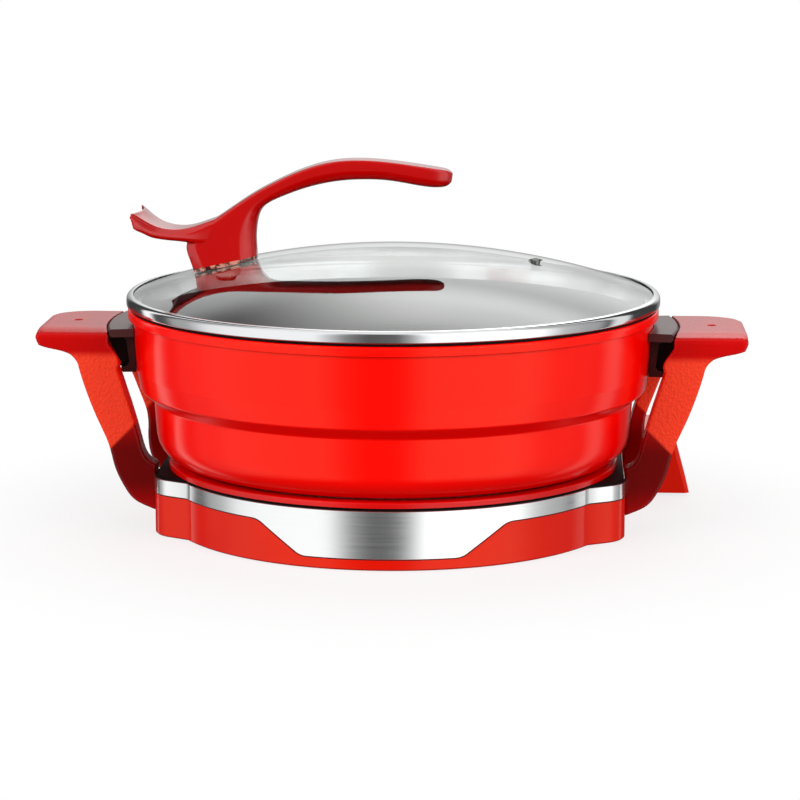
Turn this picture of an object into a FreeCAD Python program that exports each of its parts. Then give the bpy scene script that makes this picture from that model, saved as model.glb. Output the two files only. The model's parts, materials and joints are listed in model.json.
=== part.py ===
import FreeCAD, Part
import os
from math import asin, cos, degrees, radians, sin, sqrt, tan
from FreeCAD import Vector as V

# Electric hot pot: a base with a hot plate and two carrying yokes, a lift-off pot with two
# ears, and a lift-off glass lid with a goose-neck handle. Millimetres. The origin is on the
# pot's axis at the height of the table, +Z is up and the fascia faces -Y. The radii are built
# outwards from the hot plate and the heights upwards from the table.

# ---- hot plate -------------------------------------------------------------------------
plate_radius = 104.0
plate_thick = 5.0
plate_post_radius = 6.0
plate_post_inset = 42.0    # from the plate's edge in to the posts
element_inset = 22.0       # from the plate's edge in to the bent tube
element_tube = 4.0
element_gap_angle = 24.0
element_depth = 1.8        # how deep the tube lies in the plate's groove
terminal_length = 10.0
terminal_radius = 2.4
terminal_hole = 4.0
pan_wall = 0.8
pan_depth = 13.0           # from the pan's lip down to its floor
pan_lip = 4.0

# ---- base ------------------------------------------------------------------------------
well_clear = 4.0           # from the plate out to the opening in the housing's roof
base_shelf = 23.0          # from the plate's edge out to the round skirt
shoulder_jut = 4.0         # the square shoulders that carry the yokes stand out past the skirt
shoulder_half_y = 50.7     # half length of a shoulder's side
shoulder_slant = 30.0      # degrees from the front to a shoulder's front face
shoulder_corner = 18.0
skirt_bottom = 0.4
skirt_top = 31.3
skirt_wall = 2.6
skirt_chamfer = 0.8
roof_wall = 2.4
deck_thick = 3.0
deck_inset = 0.8
ring_overhang = 0.5        # past the round skirt
ring_width = 9.0
ring_height = 3.2
ring_round = 0.9
seat_gap = 0.3             # between pieces of different bodies
joint_gap = 0.2            # between pieces of one body

# ---- steel fascia ----------------------------------------------------------------------
fascia_thick = 0.8
fascia_proud = 0.3
fascia_rise = 1.2          # above the skirt, against the deck's edge
wing_bottom = 24.0
apron_bottom = 6.7
shoulder_run = 67.0        # half width where the deep middle leaves the wings
apron_run = 43.0           # half width of the deep middle's lower edge
apron_round = 10.0
fascia_reveal = 0.5        # shadow line round the band and before the yokes

# ---- cover, feet and their screws ------------------------------------------------------
cover_thick = 2.0
cover_lift = 1.6           # from the skirt's edge up to the cover
foot_radius = 9.0
foot_stem = 3.5
foot_barb = 1.0            # how far the stem stands up through the cover
foot_inset = 25.0          # from the skirt in to the feet
foot_turn = -14.0          # round from the cover's screws
boss_radius = 4.6
boss_inset = 10.0          # from the skirt in to the screw bosses
cover_screw_length = 12.0
screw_shank = 1.9
screw_head = 3.6
screw_head_thick = 1.8
screw_clear = 0.15
vent_length = 26.0
vent_width = 3.0
vent_pitch = 9.0
vent_count = 5

# ---- pot sensor ------------------------------------------------------------------------
sensor_radius = 9.0
sensor_cap = 3.0
sensor_skirt = 6.0
sensor_travel = 2.0
sensor_fit = 0.1           # radial, on the guide's tube
guide_inset = 1.5          # from the sensor's outside in to the guide's
guide_flange = 4.0
guide_wall = 1.2
guide_floor = 1.6
spring_radius = 5.0
spring_wire = 0.6
spring_turns = 4
fuse_radius = 3.0
fuse_length = 22.0
fuse_lead = 8.0
fuse_place = 45.0
block_size = V(34.0, 18.0, 10.5)
block_inset = 20.0         # from the plate's edge in to the terminal block
block_screw = 2.6

# ---- pot -------------------------------------------------------------------------------
pot_seat = 3.7             # from the deck up to the pot's underside
pot_overhang = 6.0         # past the base's round skirt
pot_taper = 2.4            # how far the low wall leans out
pot_step = 9.4             # how far the step stands out
pot_step_bulge = 1.6
pot_flare = 2.2            # how far the high wall leans out
pot_bead = 2.3             # how far the rolled lip stands out
pot_low_height = 33.0
pot_step_height = 19.0
pot_high_height = 34.0
pot_lip_height = 5.4
pot_corner = 18.0
pot_wall = 3.2
disc_inset = 6.0           # from the plate's edge in to the ground disc's
disc_thick = 1.0

# ---- pot ears --------------------------------------------------------------------------
ear_drop = 10.0            # from the pot's top down to the ears and yokes
ear_jut = 13.4             # from the pot's wall out to the flange's edge
ear_flange = 4.5
ear_wall = 4.0
ear_foot_drop = 2.5        # below the pot's step
ear_foot_thick = 3.0
ear_foot_jut = 8.7
ear_cap = 2.4              # the wall that closes the bracket's rear end
ear_end_gap = 0.8          # from the flange's ends to the yoke's sides
ear_leg_gap = 1.6          # from the bracket's ends to the yoke's legs
ear_screw_angle = 4.6
ear_screw_rise = 10.0      # above the pot's step
ear_screw_grip = 1.6       # how far the screws reach into the pot's wall

# ---- yokes -----------------------------------------------------------------------------
yoke_depth = 36.5          # of the hand platform, out from the pot's ear
yoke_front = -38.0
yoke_back = 33.0
yoke_leg_depth = 14.0
yoke_web = 10.0            # thickness of the platform over the hand's space
yoke_tip = 7.5
yoke_corner = 24.0
yoke_chamfer = 1.4
yoke_screw_grip = 3.8      # how far the screws reach into a leg's root
dimple_radius = 2.2
dimple_depth = 2.5
dimple_inset = 18.5        # from the platform's tip
front_root_low = 11.6
front_root_high = 38.0
rear_root_low = 20.0
rear_root_high = 37.0

# ---- lid -------------------------------------------------------------------------------
rim_overhang = 0.7         # past the pot's lip
rim_lift = 2.7             # above the pot's lip
rim_height = 5.4
rim_sheet = 0.7
rim_lip = 5.2              # how far the rolled rim reaches in over the glass
rim_skirt_clear = 1.4      # inside the pot's wall
rim_skirt_drop = 4.4       # below the pot's top
dome_rise = 25.4
glass_thick = 3.0
glass_inset = 2.8          # from the rim's outside in to the glass's edge
glass_land = 0.8           # width of the ground edge
dome_bands = 5
seal_clear = 1.0           # outside the rim's skirt
seal_inset = 1.8           # inside the rim's outside
vent_place = 80.0
vent_flange = 4.2
vent_bore = 1.5
vent_tube = 2.6

# ---- lid handle ------------------------------------------------------------------------
handle_inset = 55.4        # from the rim's outside in to the handle's foot
handle_reach = 126.0       # from the foot to the arm's tip
handle_rise = 58.9          # from the foot to the arm's crown
handle_gasket = 0.8
handle_screw_shank = 2.5
handle_screw_head = 6.0
handle_screw_thick = 3.0
handle_insert_depth = 14.0
handle_pad_radius = 8.0
handle_pad_thin = 0.6
arm_half_width = 8.5
tail_reach = 50.9          # from the foot back to the fish tail's end
tail_half_width = 22.0
fork_radius = 48.0
fork_depth = 4.5

# ---- control box -----------------------------------------------------------------------
box_inset = 41.0           # from the round skirt's side in to the box's left wall
box_width = 86.0
box_depth = 50.0
box_rear_inset = 9.0       # from the round skirt's back in to the box's rear wall
box_top = 40.0
box_bottom = 2.0
box_slope = 10.4           # how far the outer wall leans in over its height
box_wall = 2.5
box_round = 2.0
box_screw_length = 8.0
wire_hole = 6.0
knob_inset = 22.0          # from the box's left wall
knob_z = 21.0
knob_radius = 15.0
knob_thick = 13.0
knob_skirt = 3.0
knob_ribs = 16
shaft_radius = 3.0
shaft_fit = 0.05
shaft_depth = 10.0         # how far the shaft stands into the switch
switch_size = V(26.0, 15.0, 24.0)
bush_radius = 5.0
lens_rise = 15.6           # above the middle of the inlet
lens_radius = 2.2
inlet_inset = 27.0         # from the box's right wall
inlet_z = 18.0
inlet_width = 31.0
inlet_height = 23.0
inlet_flange_thick = 1.5
inlet_overlap = 2.0        # of the flange on the box's wall
inlet_depth = 19.0
inlet_wall = 1.5
inlet_mouth_depth = 16.0
inlet_corner = 3.0
inlet_shoulder = 5.0
blade_thick = 2.0
blade_width = 4.0
blade_out = 13.0
blade_root = 6.0           # how far a blade runs back through the body
blade_spacing = 7.0
blade_rise = 2.0

# radii and reaches, outwards from the hot plate
well_radius = plate_radius + well_clear
plate_post_circle = plate_radius - plate_post_inset
element_radius = plate_radius - element_inset
disc_radius = plate_radius - disc_inset
base_radius = plate_radius + base_shelf
shoulder_half_x = base_radius + shoulder_jut
ring_outer = base_radius + ring_overhang
boss_circle = base_radius - boss_inset
foot_circle = base_radius - foot_inset
block_y = plate_radius - block_inset
guide_radius = sensor_radius - guide_inset
pot_low_radius = base_radius + pot_overhang
pot_waist_radius = pot_low_radius + pot_taper
pot_shoulder_radius = pot_waist_radius + pot_step
pot_neck_radius = pot_shoulder_radius + pot_flare
pot_lip_radius = pot_neck_radius + pot_bead
ear_reach = pot_neck_radius + ear_jut
ear_foot_reach = pot_shoulder_radius + ear_foot_jut
yoke_throat = ear_reach + seat_gap * 2
yoke_reach = yoke_throat + yoke_depth
dimple_x = yoke_reach - dimple_inset
rim_radius = pot_lip_radius + rim_overhang
rim_skirt_radius = pot_neck_radius - pot_wall - rim_skirt_clear
glass_edge = rim_radius - glass_inset
seal_inner = rim_skirt_radius + seal_clear
seal_outer = rim_radius - seal_inset
handle_foot_x = handle_inset - rim_radius
box_left = base_radius - box_inset
box_right = box_left + box_width
knob_x = box_left + knob_inset
box_rear = base_radius - box_rear_inset
box_front = box_rear - box_depth
inlet_x = box_right - inlet_inset
lens_z = inlet_z + lens_rise
inlet_flange = V(inlet_width, inlet_flange_thick, inlet_height)
inlet_body = V(inlet_width - inlet_overlap * 2, inlet_depth, inlet_height - inlet_overlap * 2)
inlet_mouth = V(inlet_body.x - inlet_wall * 2, inlet_mouth_depth, inlet_body.z - inlet_wall * 2)
blade_size = V(blade_thick, blade_out, blade_width)

# heights, upwards from the table
cover_low = skirt_bottom + cover_lift
cover_top = cover_low + cover_thick
roof_low = skirt_top - roof_wall
fascia_top = skirt_top + fascia_rise
deck_top = skirt_top + deck_thick
ring_top = deck_top + ring_height
pot_bottom = deck_top + pot_seat
pot_waist = pot_bottom + pot_low_height
pot_shoulder = pot_waist + pot_step_height
pot_top = pot_shoulder + pot_high_height
pot_lip_low = pot_top - pot_lip_height
disc_low = pot_bottom - disc_thick
plate_top = disc_low - seat_gap
plate_low = plate_top - plate_thick
element_height = plate_low + element_depth - element_tube
pan_lip_low = roof_low - joint_gap - pan_wall
pan_floor_low = pan_lip_low - pan_depth
pan_floor_top = pan_floor_low + pan_wall
ear_top = pot_top - ear_drop
ear_foot = pot_shoulder - ear_foot_drop
ear_screw_height = pot_shoulder + ear_screw_rise
yoke_top = ear_top
rim_bottom = pot_top + rim_lift
rim_top = rim_bottom + rim_height
rim_skirt_bottom = pot_top - rim_skirt_drop
dome_apex = rim_top - rim_sheet - glass_land + dome_rise
dome_radius = (glass_edge ** 2 + dome_rise ** 2) / (2 * dome_rise)
dome_centre = dome_apex - dome_radius
handle_foot_z = dome_centre + sqrt(dome_radius ** 2 - handle_foot_x ** 2)


# ---- drawing helpers -------------------------------------------------------------------
def cylinder(radius, low, high, x=0.0, y=0.0):
    return Part.makeCylinder(radius, high - low, V(x, y, low))


def block(low, high):
    size = high - low
    return Part.makeBox(size.x, size.y, size.z, low)


def centred_block(size, centre):
    return block(centre - size * 0.5, centre + size * 0.5)


def polar(radius, angle, height=0.0):
    return V(radius * cos(radians(angle)), radius * sin(radians(angle)), height)


def section(points):
    """A face in the XZ plane from straight edges through (radius, height) points."""
    corners = [V(x, 0, z) for x, z in points]
    return Part.Face(Part.makePolygon(corners + corners[:1]))


def bend(centre, radius, start, end, steps):
    """Points along an arc in the XZ plane, which a revolve turns into narrow cones."""
    turns = [radians(start + (end - start) * step / steps) for step in range(steps + 1)]
    return [(centre[0] + radius * cos(turn), centre[1] + radius * sin(turn)) for turn in turns]


def turned(face, angle=360.0):
    return face.revolve(V(0, 0, 0), V(0, 0, 1), angle)


def arc(start, middle, end):
    return Part.Arc(V(*start), V(*middle), V(*end)).toShape()


def line(start, end):
    return Part.makeLine(V(*start), V(*end))


def flowing(points):
    """A smooth curve through points."""
    curve = Part.BSplineCurve()
    curve.interpolate([V(*point) for point in points])
    return curve.toShape()


def mirrored(shape):
    return shape.mirror(V(0, 0, 0), V(1, 0, 0))


def base_outline(inset, low, high):
    """The base's plan, a round skirt with a slanted shoulder each side, drawn in by an inset."""
    lean = tan(radians(shoulder_slant))
    half_x = shoulder_half_x - inset
    half_y = shoulder_half_y - inset * (1 / cos(radians(shoulder_slant)) - lean)
    inner_x, inner_y = half_x / 2, half_y + half_x / 2 * lean
    quarter = [(half_x, half_y), (inner_x, inner_y)]
    corners = [V(x, -y, 0) for x, y in quarter] + [V(-x, -y, 0) for x, y in quarter[::-1]]
    corners += [V(-x, y, 0) for x, y in quarter] + [V(x, y, 0) for x, y in quarter[::-1]]
    shoulders = Part.Face(Part.makePolygon(corners + corners[:1])).extrude(V(0, 0, 1))
    outer = [edge for edge in shoulders.Edges if abs(edge.tangentAt(edge.FirstParameter).z) > 0.9
             and abs(edge.CenterOfMass.x) > half_x - 1.0]
    shoulders = shoulders.makeFillet(max(shoulder_corner - inset, 1.0), outer)
    plan = cylinder(base_radius - inset, 0, 1).fuse(shoulders).removeSplitter()
    floor = [face for face in plan.Faces if abs(face.CenterOfMass.z) < 1e-6][0]
    solid = floor.extrude(V(0, 0, high - low))
    solid.translate(V(0, 0, low))
    return solid


def around(solid, count, start=0.0):
    """Copies of a solid turned evenly about the pot's axis."""
    copies = []
    for step in range(count):
        copy = solid.copy()
        copy.rotate(V(0, 0, 0), V(0, 0, 1), start + 360.0 * step / count)
        copies.append(copy)
    return copies


def save(name, shape):
    shape.exportStep("parts/" + name + ".step")


# ---- base: housing, fascia, deck and ring ----------------------------------------------
def fascia_window(grow):
    """Front view of the band: thin wings and a deep middle, as a solid along Y."""
    top = fascia_top + grow
    wing = wing_bottom - grow
    low = apron_bottom - grow
    side = shoulder_half_x + 5.0
    corners = [
        (-side, top), (-side, wing), (-shoulder_run - grow, wing), (-apron_run - grow, low),
        (apron_run + grow, low), (shoulder_run + grow, wing), (side, wing), (side, top),
    ]
    window = section(corners).extrude(V(0, base_radius + 20.0, 0))
    window.translate(V(0, -base_radius - 20.0, 0))
    bends = []
    for edge in window.Edges:
        along_y = abs(edge.tangentAt(edge.FirstParameter).y) > 0.9
        place = edge.CenterOfMass
        if along_y and abs(place.x) < shoulder_half_x and place.z < wing + 1.0:
            bends.append(edge)
    window = window.makeFillet(apron_round, bends)
    back = yoke_front - fascia_reveal
    front = block(V(-side, -base_radius - 20.0, 0), V(side, back + grow, top + 1.0))
    return window.common(front)


def fascia():
    outer = base_outline(-fascia_proud, apron_bottom - 1.0, fascia_top + 1.0)
    inner = base_outline(fascia_thick - fascia_proud, apron_bottom - 2.0, fascia_top + 2.0)
    return outer.cut(inner).common(fascia_window(0.0))


def fascia_seat():
    outer = base_outline(-fascia_proud - 2.0, apron_bottom - 2.0, fascia_top + 2.0)
    inner = base_outline(fascia_thick - fascia_proud, apron_bottom - 3.0, fascia_top + 3.0)
    return outer.cut(inner).common(fascia_window(fascia_reveal))


def cover_bosses():
    return [cylinder(boss_radius, cover_top, roof_low + 1.0, *polar(boss_circle, angle)[:2])
            for angle in screw_angles()]


def screw_angles():
    return [45.0 + 90.0 * step for step in range(4)]


def base_housing():
    body = base_outline(0.0, skirt_bottom, skirt_top)
    rim = [edge for edge in body.Edges if abs(edge.CenterOfMass.z - skirt_bottom) < 1e-6]
    body = body.makeChamfer(skirt_chamfer, rim)
    body = body.cut(base_outline(skirt_wall, skirt_bottom - 1.0, roof_low))
    body = body.cut(cylinder(well_radius, roof_low - 1.0, skirt_top + 1.0))
    body = body.cut(fascia_seat())
    body = body.multiFuse(cover_bosses())
    for angle in screw_angles():
        x, y, _ = polar(boss_circle, angle)
        pilot_top = cover_low + cover_screw_length + 1.0
        body = body.cut(cylinder(screw_shank + screw_clear, cover_top - 1.0, pilot_top, x, y))
    for hole in yoke_screw_holes(shoulder_half_x - skirt_wall - 2.0, shoulder_half_x + 1.0):
        body = body.cut(hole)
    return body.cut(box_fixings(screw_shank + screw_clear, wire_hole))


def top_deck():
    deck = base_outline(deck_inset, skirt_top, deck_top)
    deck = deck.cut(cylinder(well_radius, skirt_top - 1.0, deck_top + 1.0))
    return deck.cut(fascia_seat())


def support_ring():
    bore = ring_outer - ring_width
    soft = ring_round
    return turned(section([
        (bore, deck_top), (ring_outer, deck_top), (ring_outer, ring_top - soft),
        (ring_outer - soft, ring_top), (bore + soft, ring_top), (bore, ring_top - soft),
    ]))


# ---- base: hot plate and what hangs under it -------------------------------------------
def heating_plate():
    plate = turned(section([
        (0, plate_low), (plate_radius - 1.5, plate_low), (plate_radius, plate_low + 1.5),
        (plate_radius, plate_top - 1.0), (plate_radius - 1.0, plate_top), (0, plate_top),
    ]))
    post = cylinder(plate_post_radius, pan_floor_top, plate_low + 1.0, plate_post_circle)
    plate = plate.multiFuse(around(post, 3, 90.0))
    plate = plate.cut(tube_ring(element_tube + joint_gap))
    return plate.cut(cylinder(sensor_radius + 1.0, plate_low - 1.0, plate_top + 1.0))


def tube_ring(radius, angle=360.0):
    """The bent tube's path about the pot's axis, eight-sided in section."""
    return turned(section(bend((element_radius, element_height), radius, 22.5, 337.5, 7)), angle)


def heating_element():
    half_gap = element_gap_angle / 2
    ring = tube_ring(element_tube, 360 - element_gap_angle)
    ring.rotate(V(0, 0, 0), V(0, 0, 1), 90 + half_gap)
    for side in (-1, 1):
        x, y, _ = polar(element_radius, 90 + side * (half_gap + 2.0))
        low = element_height - terminal_length
        ring = ring.fuse(cylinder(terminal_radius, low, element_height, x, y))
    return ring


def reflector_pan():
    wall = plate_radius + joint_gap
    lip = pan_lip_low + pan_wall
    pan = turned(section([
        (0, pan_floor_low), (wall + pan_wall, pan_floor_low), (wall + pan_wall, pan_lip_low),
        (well_radius + pan_lip, pan_lip_low), (well_radius + pan_lip, lip), (wall, lip),
        (wall, pan_floor_top), (0, pan_floor_top),
    ]))
    half_gap = element_gap_angle / 2
    for side in (-1, 1):
        x, y, _ = polar(element_radius, 90 + side * (half_gap + 2.0))
        hole = cylinder(terminal_hole, pan_floor_low - 1, pan_floor_top + 1, x, y)
        pan = pan.cut(hole)
    return pan.cut(cylinder(guide_radius - guide_wall, pan_floor_low - 1, pan_floor_top + 1))


def sensor_guide():
    """A spun cup under the plate: the sensor's skirt slides over its tube."""
    outer = guide_radius
    inner = guide_radius - guide_wall
    foot = guide_radius + guide_flange
    floor = pan_floor_top + guide_floor
    tube_top = plate_low - sensor_travel
    return turned(section([
        (0, pan_floor_top), (foot, pan_floor_top), (foot, floor), (outer, floor),
        (outer, tube_top), (inner, tube_top), (inner, floor), (0, floor),
    ]))


def sensor_button():
    low = plate_top - sensor_cap - sensor_skirt
    inner = guide_radius + sensor_fit
    cap_low = plate_top - sensor_cap
    return turned(section([
        (0, cap_low), (inner, cap_low), (inner, low), (sensor_radius, low),
        (sensor_radius, plate_top - 0.6), (sensor_radius - 0.6, plate_top), (0, plate_top),
    ]))


def sensor_spring():
    """A compression spring, its turns drawn as short straight runs of square wire."""
    low = pan_floor_top + guide_floor + spring_wire
    height = plate_top - sensor_cap - spring_wire - low
    runs = 10
    path = [polar(spring_radius, 360.0 * step / runs, low + height * step / runs / spring_turns)
            for step in range(runs * spring_turns + 1)]
    half = spring_wire * 0.8
    corners = [V(spring_radius + x, 0, low + z)
               for x, z in ((-half, -half), (half, -half), (half, half), (-half, half))]
    wire = Part.makePolygon(corners + corners[:1])
    return Part.makePolygon(path).makePipeShell([wire], True, True, 1)


def thermal_fuse():
    body = Part.makeCylinder(fuse_radius, fuse_length, V(fuse_place, 0, 0), V(0, 1, 0))
    body.translate(V(0, -fuse_length / 2, pan_floor_low - joint_gap - fuse_radius))
    for side in (-1, 1):
        end = V(fuse_place, side * fuse_length / 2, pan_floor_low - joint_gap - fuse_radius)
        lead = Part.makeCylinder(fuse_radius / 5, fuse_lead, end, V(0, side, 0))
        body = body.fuse(lead)
    return body


def terminal_block():
    low = cover_top + joint_gap
    body = centred_block(block_size, V(0, block_y, low + block_size.z / 2))
    for step in (-1, 0, 1):
        x = step * block_size.x / 3.2
        body = body.cut(cylinder(block_screw, low + block_size.z / 2, low + block_size.z + 1, x, block_y))
    return body


# ---- base: cover, screws and feet ------------------------------------------------------
def bottom_cover():
    plate = base_outline(skirt_wall + joint_gap, cover_low, cover_top)
    for angle in screw_angles():
        x, y, _ = polar(boss_circle, angle)
        plate = plate.cut(cylinder(screw_shank + screw_clear, cover_low - 1, cover_top + 1, x, y))
    for x, y, _ in foot_places():
        plate = plate.cut(cylinder(foot_stem + screw_clear, cover_low - 1, cover_top + 1, x, y))
    slot = block(V(-vent_length / 2, -vent_width / 2, cover_low - 1),
                 V(vent_length / 2, vent_width / 2, cover_top + 1))
    upright = [edge for edge in slot.Edges if abs(edge.tangentAt(edge.FirstParameter).z) > 0.9]
    slot = slot.makeFillet(vent_width * 0.45, upright)
    for row in range(vent_count):
        copy = slot.copy()
        copy.translate(V(0, (row - (vent_count - 1) / 2) * vent_pitch, 0))
        plate = plate.cut(copy)
    return plate


def foot_places():
    return [polar(foot_circle, angle + foot_turn) for angle in screw_angles()]


def rubber_feet():
    foot = turned(section([
        (0, 0), (foot_radius, 0), (foot_radius, cover_low), (foot_stem, cover_low),
        (foot_stem, cover_top + foot_barb), (0, cover_top + foot_barb),
    ]))
    feet = []
    for place in foot_places():
        copy = foot.copy()
        copy.translate(place)
        feet.append(copy)
    return Part.makeCompound(feet)


def pan_head_screw(length):
    """A screw whose head sits below the origin and whose shank rises along +Z."""
    return turned(section([
        (0, -screw_head_thick), (screw_head, -screw_head_thick), (screw_head, 0),
        (screw_shank, 0), (screw_shank, length), (0, length),
    ]))


def placed(shape, place, direction):
    """A shape built along +Z, turned to point along a direction and moved to its place."""
    copy = shape.copy()
    copy.Placement = FreeCAD.Placement(place, FreeCAD.Rotation(V(0, 0, 1), direction))
    return copy


def cover_screws():
    screw = pan_head_screw(cover_screw_length)
    screws = [placed(screw, polar(boss_circle, angle, cover_low), V(0, 0, 1))
              for angle in screw_angles()]
    return Part.makeCompound(screws)


# ---- yokes -----------------------------------------------------------------------------
def yoke_screw_places():
    """Screw centres on the shoulder, the heads clear of the housing's roof inside."""
    front = V(shoulder_half_x, yoke_front + yoke_leg_depth / 2, (front_root_low + front_root_high) / 2)
    rear = V(shoulder_half_x, yoke_back - yoke_leg_depth / 2, roof_low - screw_head - 0.4)
    return [front, rear]


def yoke_screw_holes(start, end):
    holes = []
    for place in yoke_screw_places():
        hole = Part.makeCylinder(
            screw_shank + screw_clear, end - start, V(start, place.y, place.z), V(1, 0, 0))
        holes += [hole, mirrored(hole)]
    return holes


def leg_point(out, up):
    """A point in the yoke's front view, as shares of the way out to the throat and up."""
    return (shoulder_half_x + out * (yoke_throat - shoulder_half_x), 0, up * yoke_top)


def leg_profile(outer, inner, low, high):
    """A leg's side: two flowing edges from the base's shoulder up into the platform."""
    outer = [(shoulder_half_x, 0, low)] + [leg_point(out, up) for out, up in outer]
    inner = [(shoulder_half_x, 0, high)] + [leg_point(out, up) for out, up in inner]
    crown = yoke_top - yoke_web * 0.6
    top_outer = (outer[-1][0], 0, crown)
    top_inner = (inner[-1][0], 0, crown)
    edges = [
        flowing(outer), line(outer[-1], top_outer), line(top_outer, top_inner),
        line(top_inner, inner[-1]), flowing(inner), line(inner[0], outer[0])]
    return Part.Face(Part.Wire(Part.sortEdges(edges)[0]))


def slab(face, front, back):
    solid = face.extrude(V(0, back - front, 0))
    solid.translate(V(0, front, 0))
    return solid


def platform_profile():
    """Front view of the hand platform: flat top, and a belly that thins to the tip."""
    low = yoke_top - yoke_tip
    root = yoke_throat - yoke_web
    belly = yoke_depth * 0.66
    floor = low - yoke_web * 1.35
    edges = [
        line((root, 0, yoke_top), (yoke_reach - 2.0, 0, yoke_top)),
        arc((yoke_reach - 2.0, 0, yoke_top), (yoke_reach - 0.4, 0, yoke_top - 1.0),
            (yoke_reach, 0, yoke_top - 2.6)),
        line((yoke_reach, 0, yoke_top - 2.6), (yoke_reach - 1.6, 0, low)),
        flowing([(yoke_reach - 1.6, 0, low), (yoke_reach - belly / 3, 0, low - yoke_web * 0.26),
                 (yoke_reach - belly * 2 / 3, 0, low - yoke_web * 0.5), (yoke_reach - belly, 0, floor)]),
        line((yoke_reach - belly, 0, floor), (root, 0, floor)),
        line((root, 0, floor), (root, 0, yoke_top)),
    ]
    return Part.Face(Part.Wire(edges))


def platform():
    """The hand platform: rounded back corner, notched for the ear, open beneath."""
    body = slab(platform_profile(), yoke_front, yoke_back)
    window = block(
        V(yoke_throat - yoke_web * 2, yoke_front + yoke_leg_depth, 0),
        V(yoke_reach - yoke_depth * 0.36, yoke_back - yoke_leg_depth, yoke_top - yoke_web))
    body = body.cut(window)
    plan = block(V(0, yoke_front * 2, 0), V(yoke_reach + 1.0, yoke_back, yoke_top + 1.0))
    corner = [edge for edge in plan.Edges
              if abs(edge.CenterOfMass.x - yoke_reach - 1.0) < 1e-6
              and abs(edge.CenterOfMass.y - yoke_back) < 1e-6]
    return body.common(plan.makeFillet(yoke_corner, corner))


def yoke():
    front_leg = slab(leg_profile(
        [(0.23, 0.127), (0.43, 0.158), (0.60, 0.219), (0.77, 0.316), (0.87, 0.421), (1.07, 0.548),
         (1.30, 0.706), (1.43, 0.825)],
        [(0.18, 0.364), (0.29, 0.439), (0.42, 0.570), (0.71, 0.816), (0.83, 0.930)],
        front_root_low, front_root_high), yoke_front, yoke_front + yoke_leg_depth)
    rear_leg = slab(leg_profile(
        [(0.25, 0.224), (0.37, 0.289), (0.41, 0.386), (0.42, 0.491), (0.55, 0.596), (0.75, 0.728),
         (1.10, 0.860)],
        [(0.09, 0.368), (0.12, 0.439), (0.18, 0.526), (0.40, 0.684), (0.62, 0.825), (0.77, 0.930)],
        rear_root_low, rear_root_high), yoke_back - yoke_leg_depth, yoke_back)
    body = platform().multiFuse([front_leg, rear_leg])
    notch_top = yoke_top - ear_flange - 1.5
    throat = turned(section([
        (0, pot_shoulder + 2), (ear_foot_reach - 1, pot_shoulder + 2), (yoke_throat, notch_top),
        (yoke_throat, yoke_top + 1), (0, yoke_top + 1)]))
    body = body.cut(throat).removeSplitter()
    start = shoulder_half_x - 1.0
    for hole in yoke_screw_holes(start, shoulder_half_x + yoke_screw_grip + 0.4):
        body = body.cut(hole)
    rim = [edge for edge in body.Edges
           if abs(edge.BoundBox.ZMin - yoke_top) < 1e-4 and edge.CenterOfMass.x > yoke_throat + 2.0]
    body = body.makeChamfer(yoke_chamfer, rim)
    middle = (yoke_front + yoke_back) / 2
    dimple = cylinder(dimple_radius, yoke_top - dimple_depth, yoke_top + 1, dimple_x, middle)
    return body.cut(dimple)


def yoke_screws():
    screw = pan_head_screw(skirt_wall + yoke_screw_grip)
    screws = []
    for place in yoke_screw_places():
        seat = V(shoulder_half_x - skirt_wall, place.y, place.z)
        right = placed(screw, seat, V(1, 0, 0))
        screws += [right, mirrored(right)]
    return Part.makeCompound(screws)


# ---- control box -----------------------------------------------------------------------
def box_angles():
    return 35.4, 40.0, 44.6


def box_fixings(screw_radius, wire_radius):
    """Two screw holes and a wire hole, radially through the skirt into the control box."""
    low, middle, high = box_angles()
    start = base_radius - skirt_wall - 1.0
    reach = skirt_wall + box_wall + 3.0
    solids = []
    for angle, radius in ((low, screw_radius), (middle, wire_radius), (high, screw_radius)):
        solids.append(Part.makeCylinder(
            radius, reach, polar(start, angle, (box_bottom + box_top) / 2), polar(1.0, angle)))
    return Part.makeCompound(solids)


def box_form(inset, low, high):
    """The box as a drafted block, hollowed against the round skirt."""
    lean = box_slope / (box_top - box_bottom)

    def ring(height):
        right = box_right - lean * (height - box_bottom) - inset
        corners = [(box_left + inset, box_front + inset), (right, box_front + inset),
                   (right, box_rear - inset), (box_left + inset, box_rear - inset)]
        points = [V(x, y, height) for x, y in corners]
        return Part.makePolygon(points + points[:1])

    form = Part.makeLoft([ring(low), ring(high)], True)
    form = form.cut(cylinder(base_radius + joint_gap + inset, low - 1.0, high + 1.0))
    if high > deck_top:
        form = form.cut(cylinder(ring_outer + joint_gap + inset, deck_top - 1.0, high + 1.0))
    return form


def control_box():
    body = box_form(0.0, box_bottom, box_top)
    edges = []
    for edge in body.Edges:
        middle = edge.CenterOfMass
        at_base = middle.Length and sqrt(middle.x ** 2 + middle.y ** 2) < base_radius + 9.0
        if middle.z > box_bottom + 1.0 and not at_base:
            edges.append(edge)
    body = body.makeChamfer(box_round, edges)
    body = body.cut(box_form(box_wall, box_bottom - 1.0, box_top - box_wall))
    body = body.cut(box_fixings(screw_shank + screw_clear, wire_hole))
    body = body.cut(Part.makeCylinder(
        bush_radius + joint_gap, box_wall * 3, V(knob_x, box_rear - box_wall * 2, knob_z), V(0, 1, 0)))
    body = body.cut(Part.makeCylinder(
        lens_radius + joint_gap, box_wall * 3, V(inlet_x, box_rear - box_wall * 2, lens_z), V(0, 1, 0)))
    hole = inlet_body + V(joint_gap * 2, 0, joint_gap * 2)
    return body.cut(centred_block(hole, V(inlet_x, box_rear - box_wall, inlet_z)))


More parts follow.
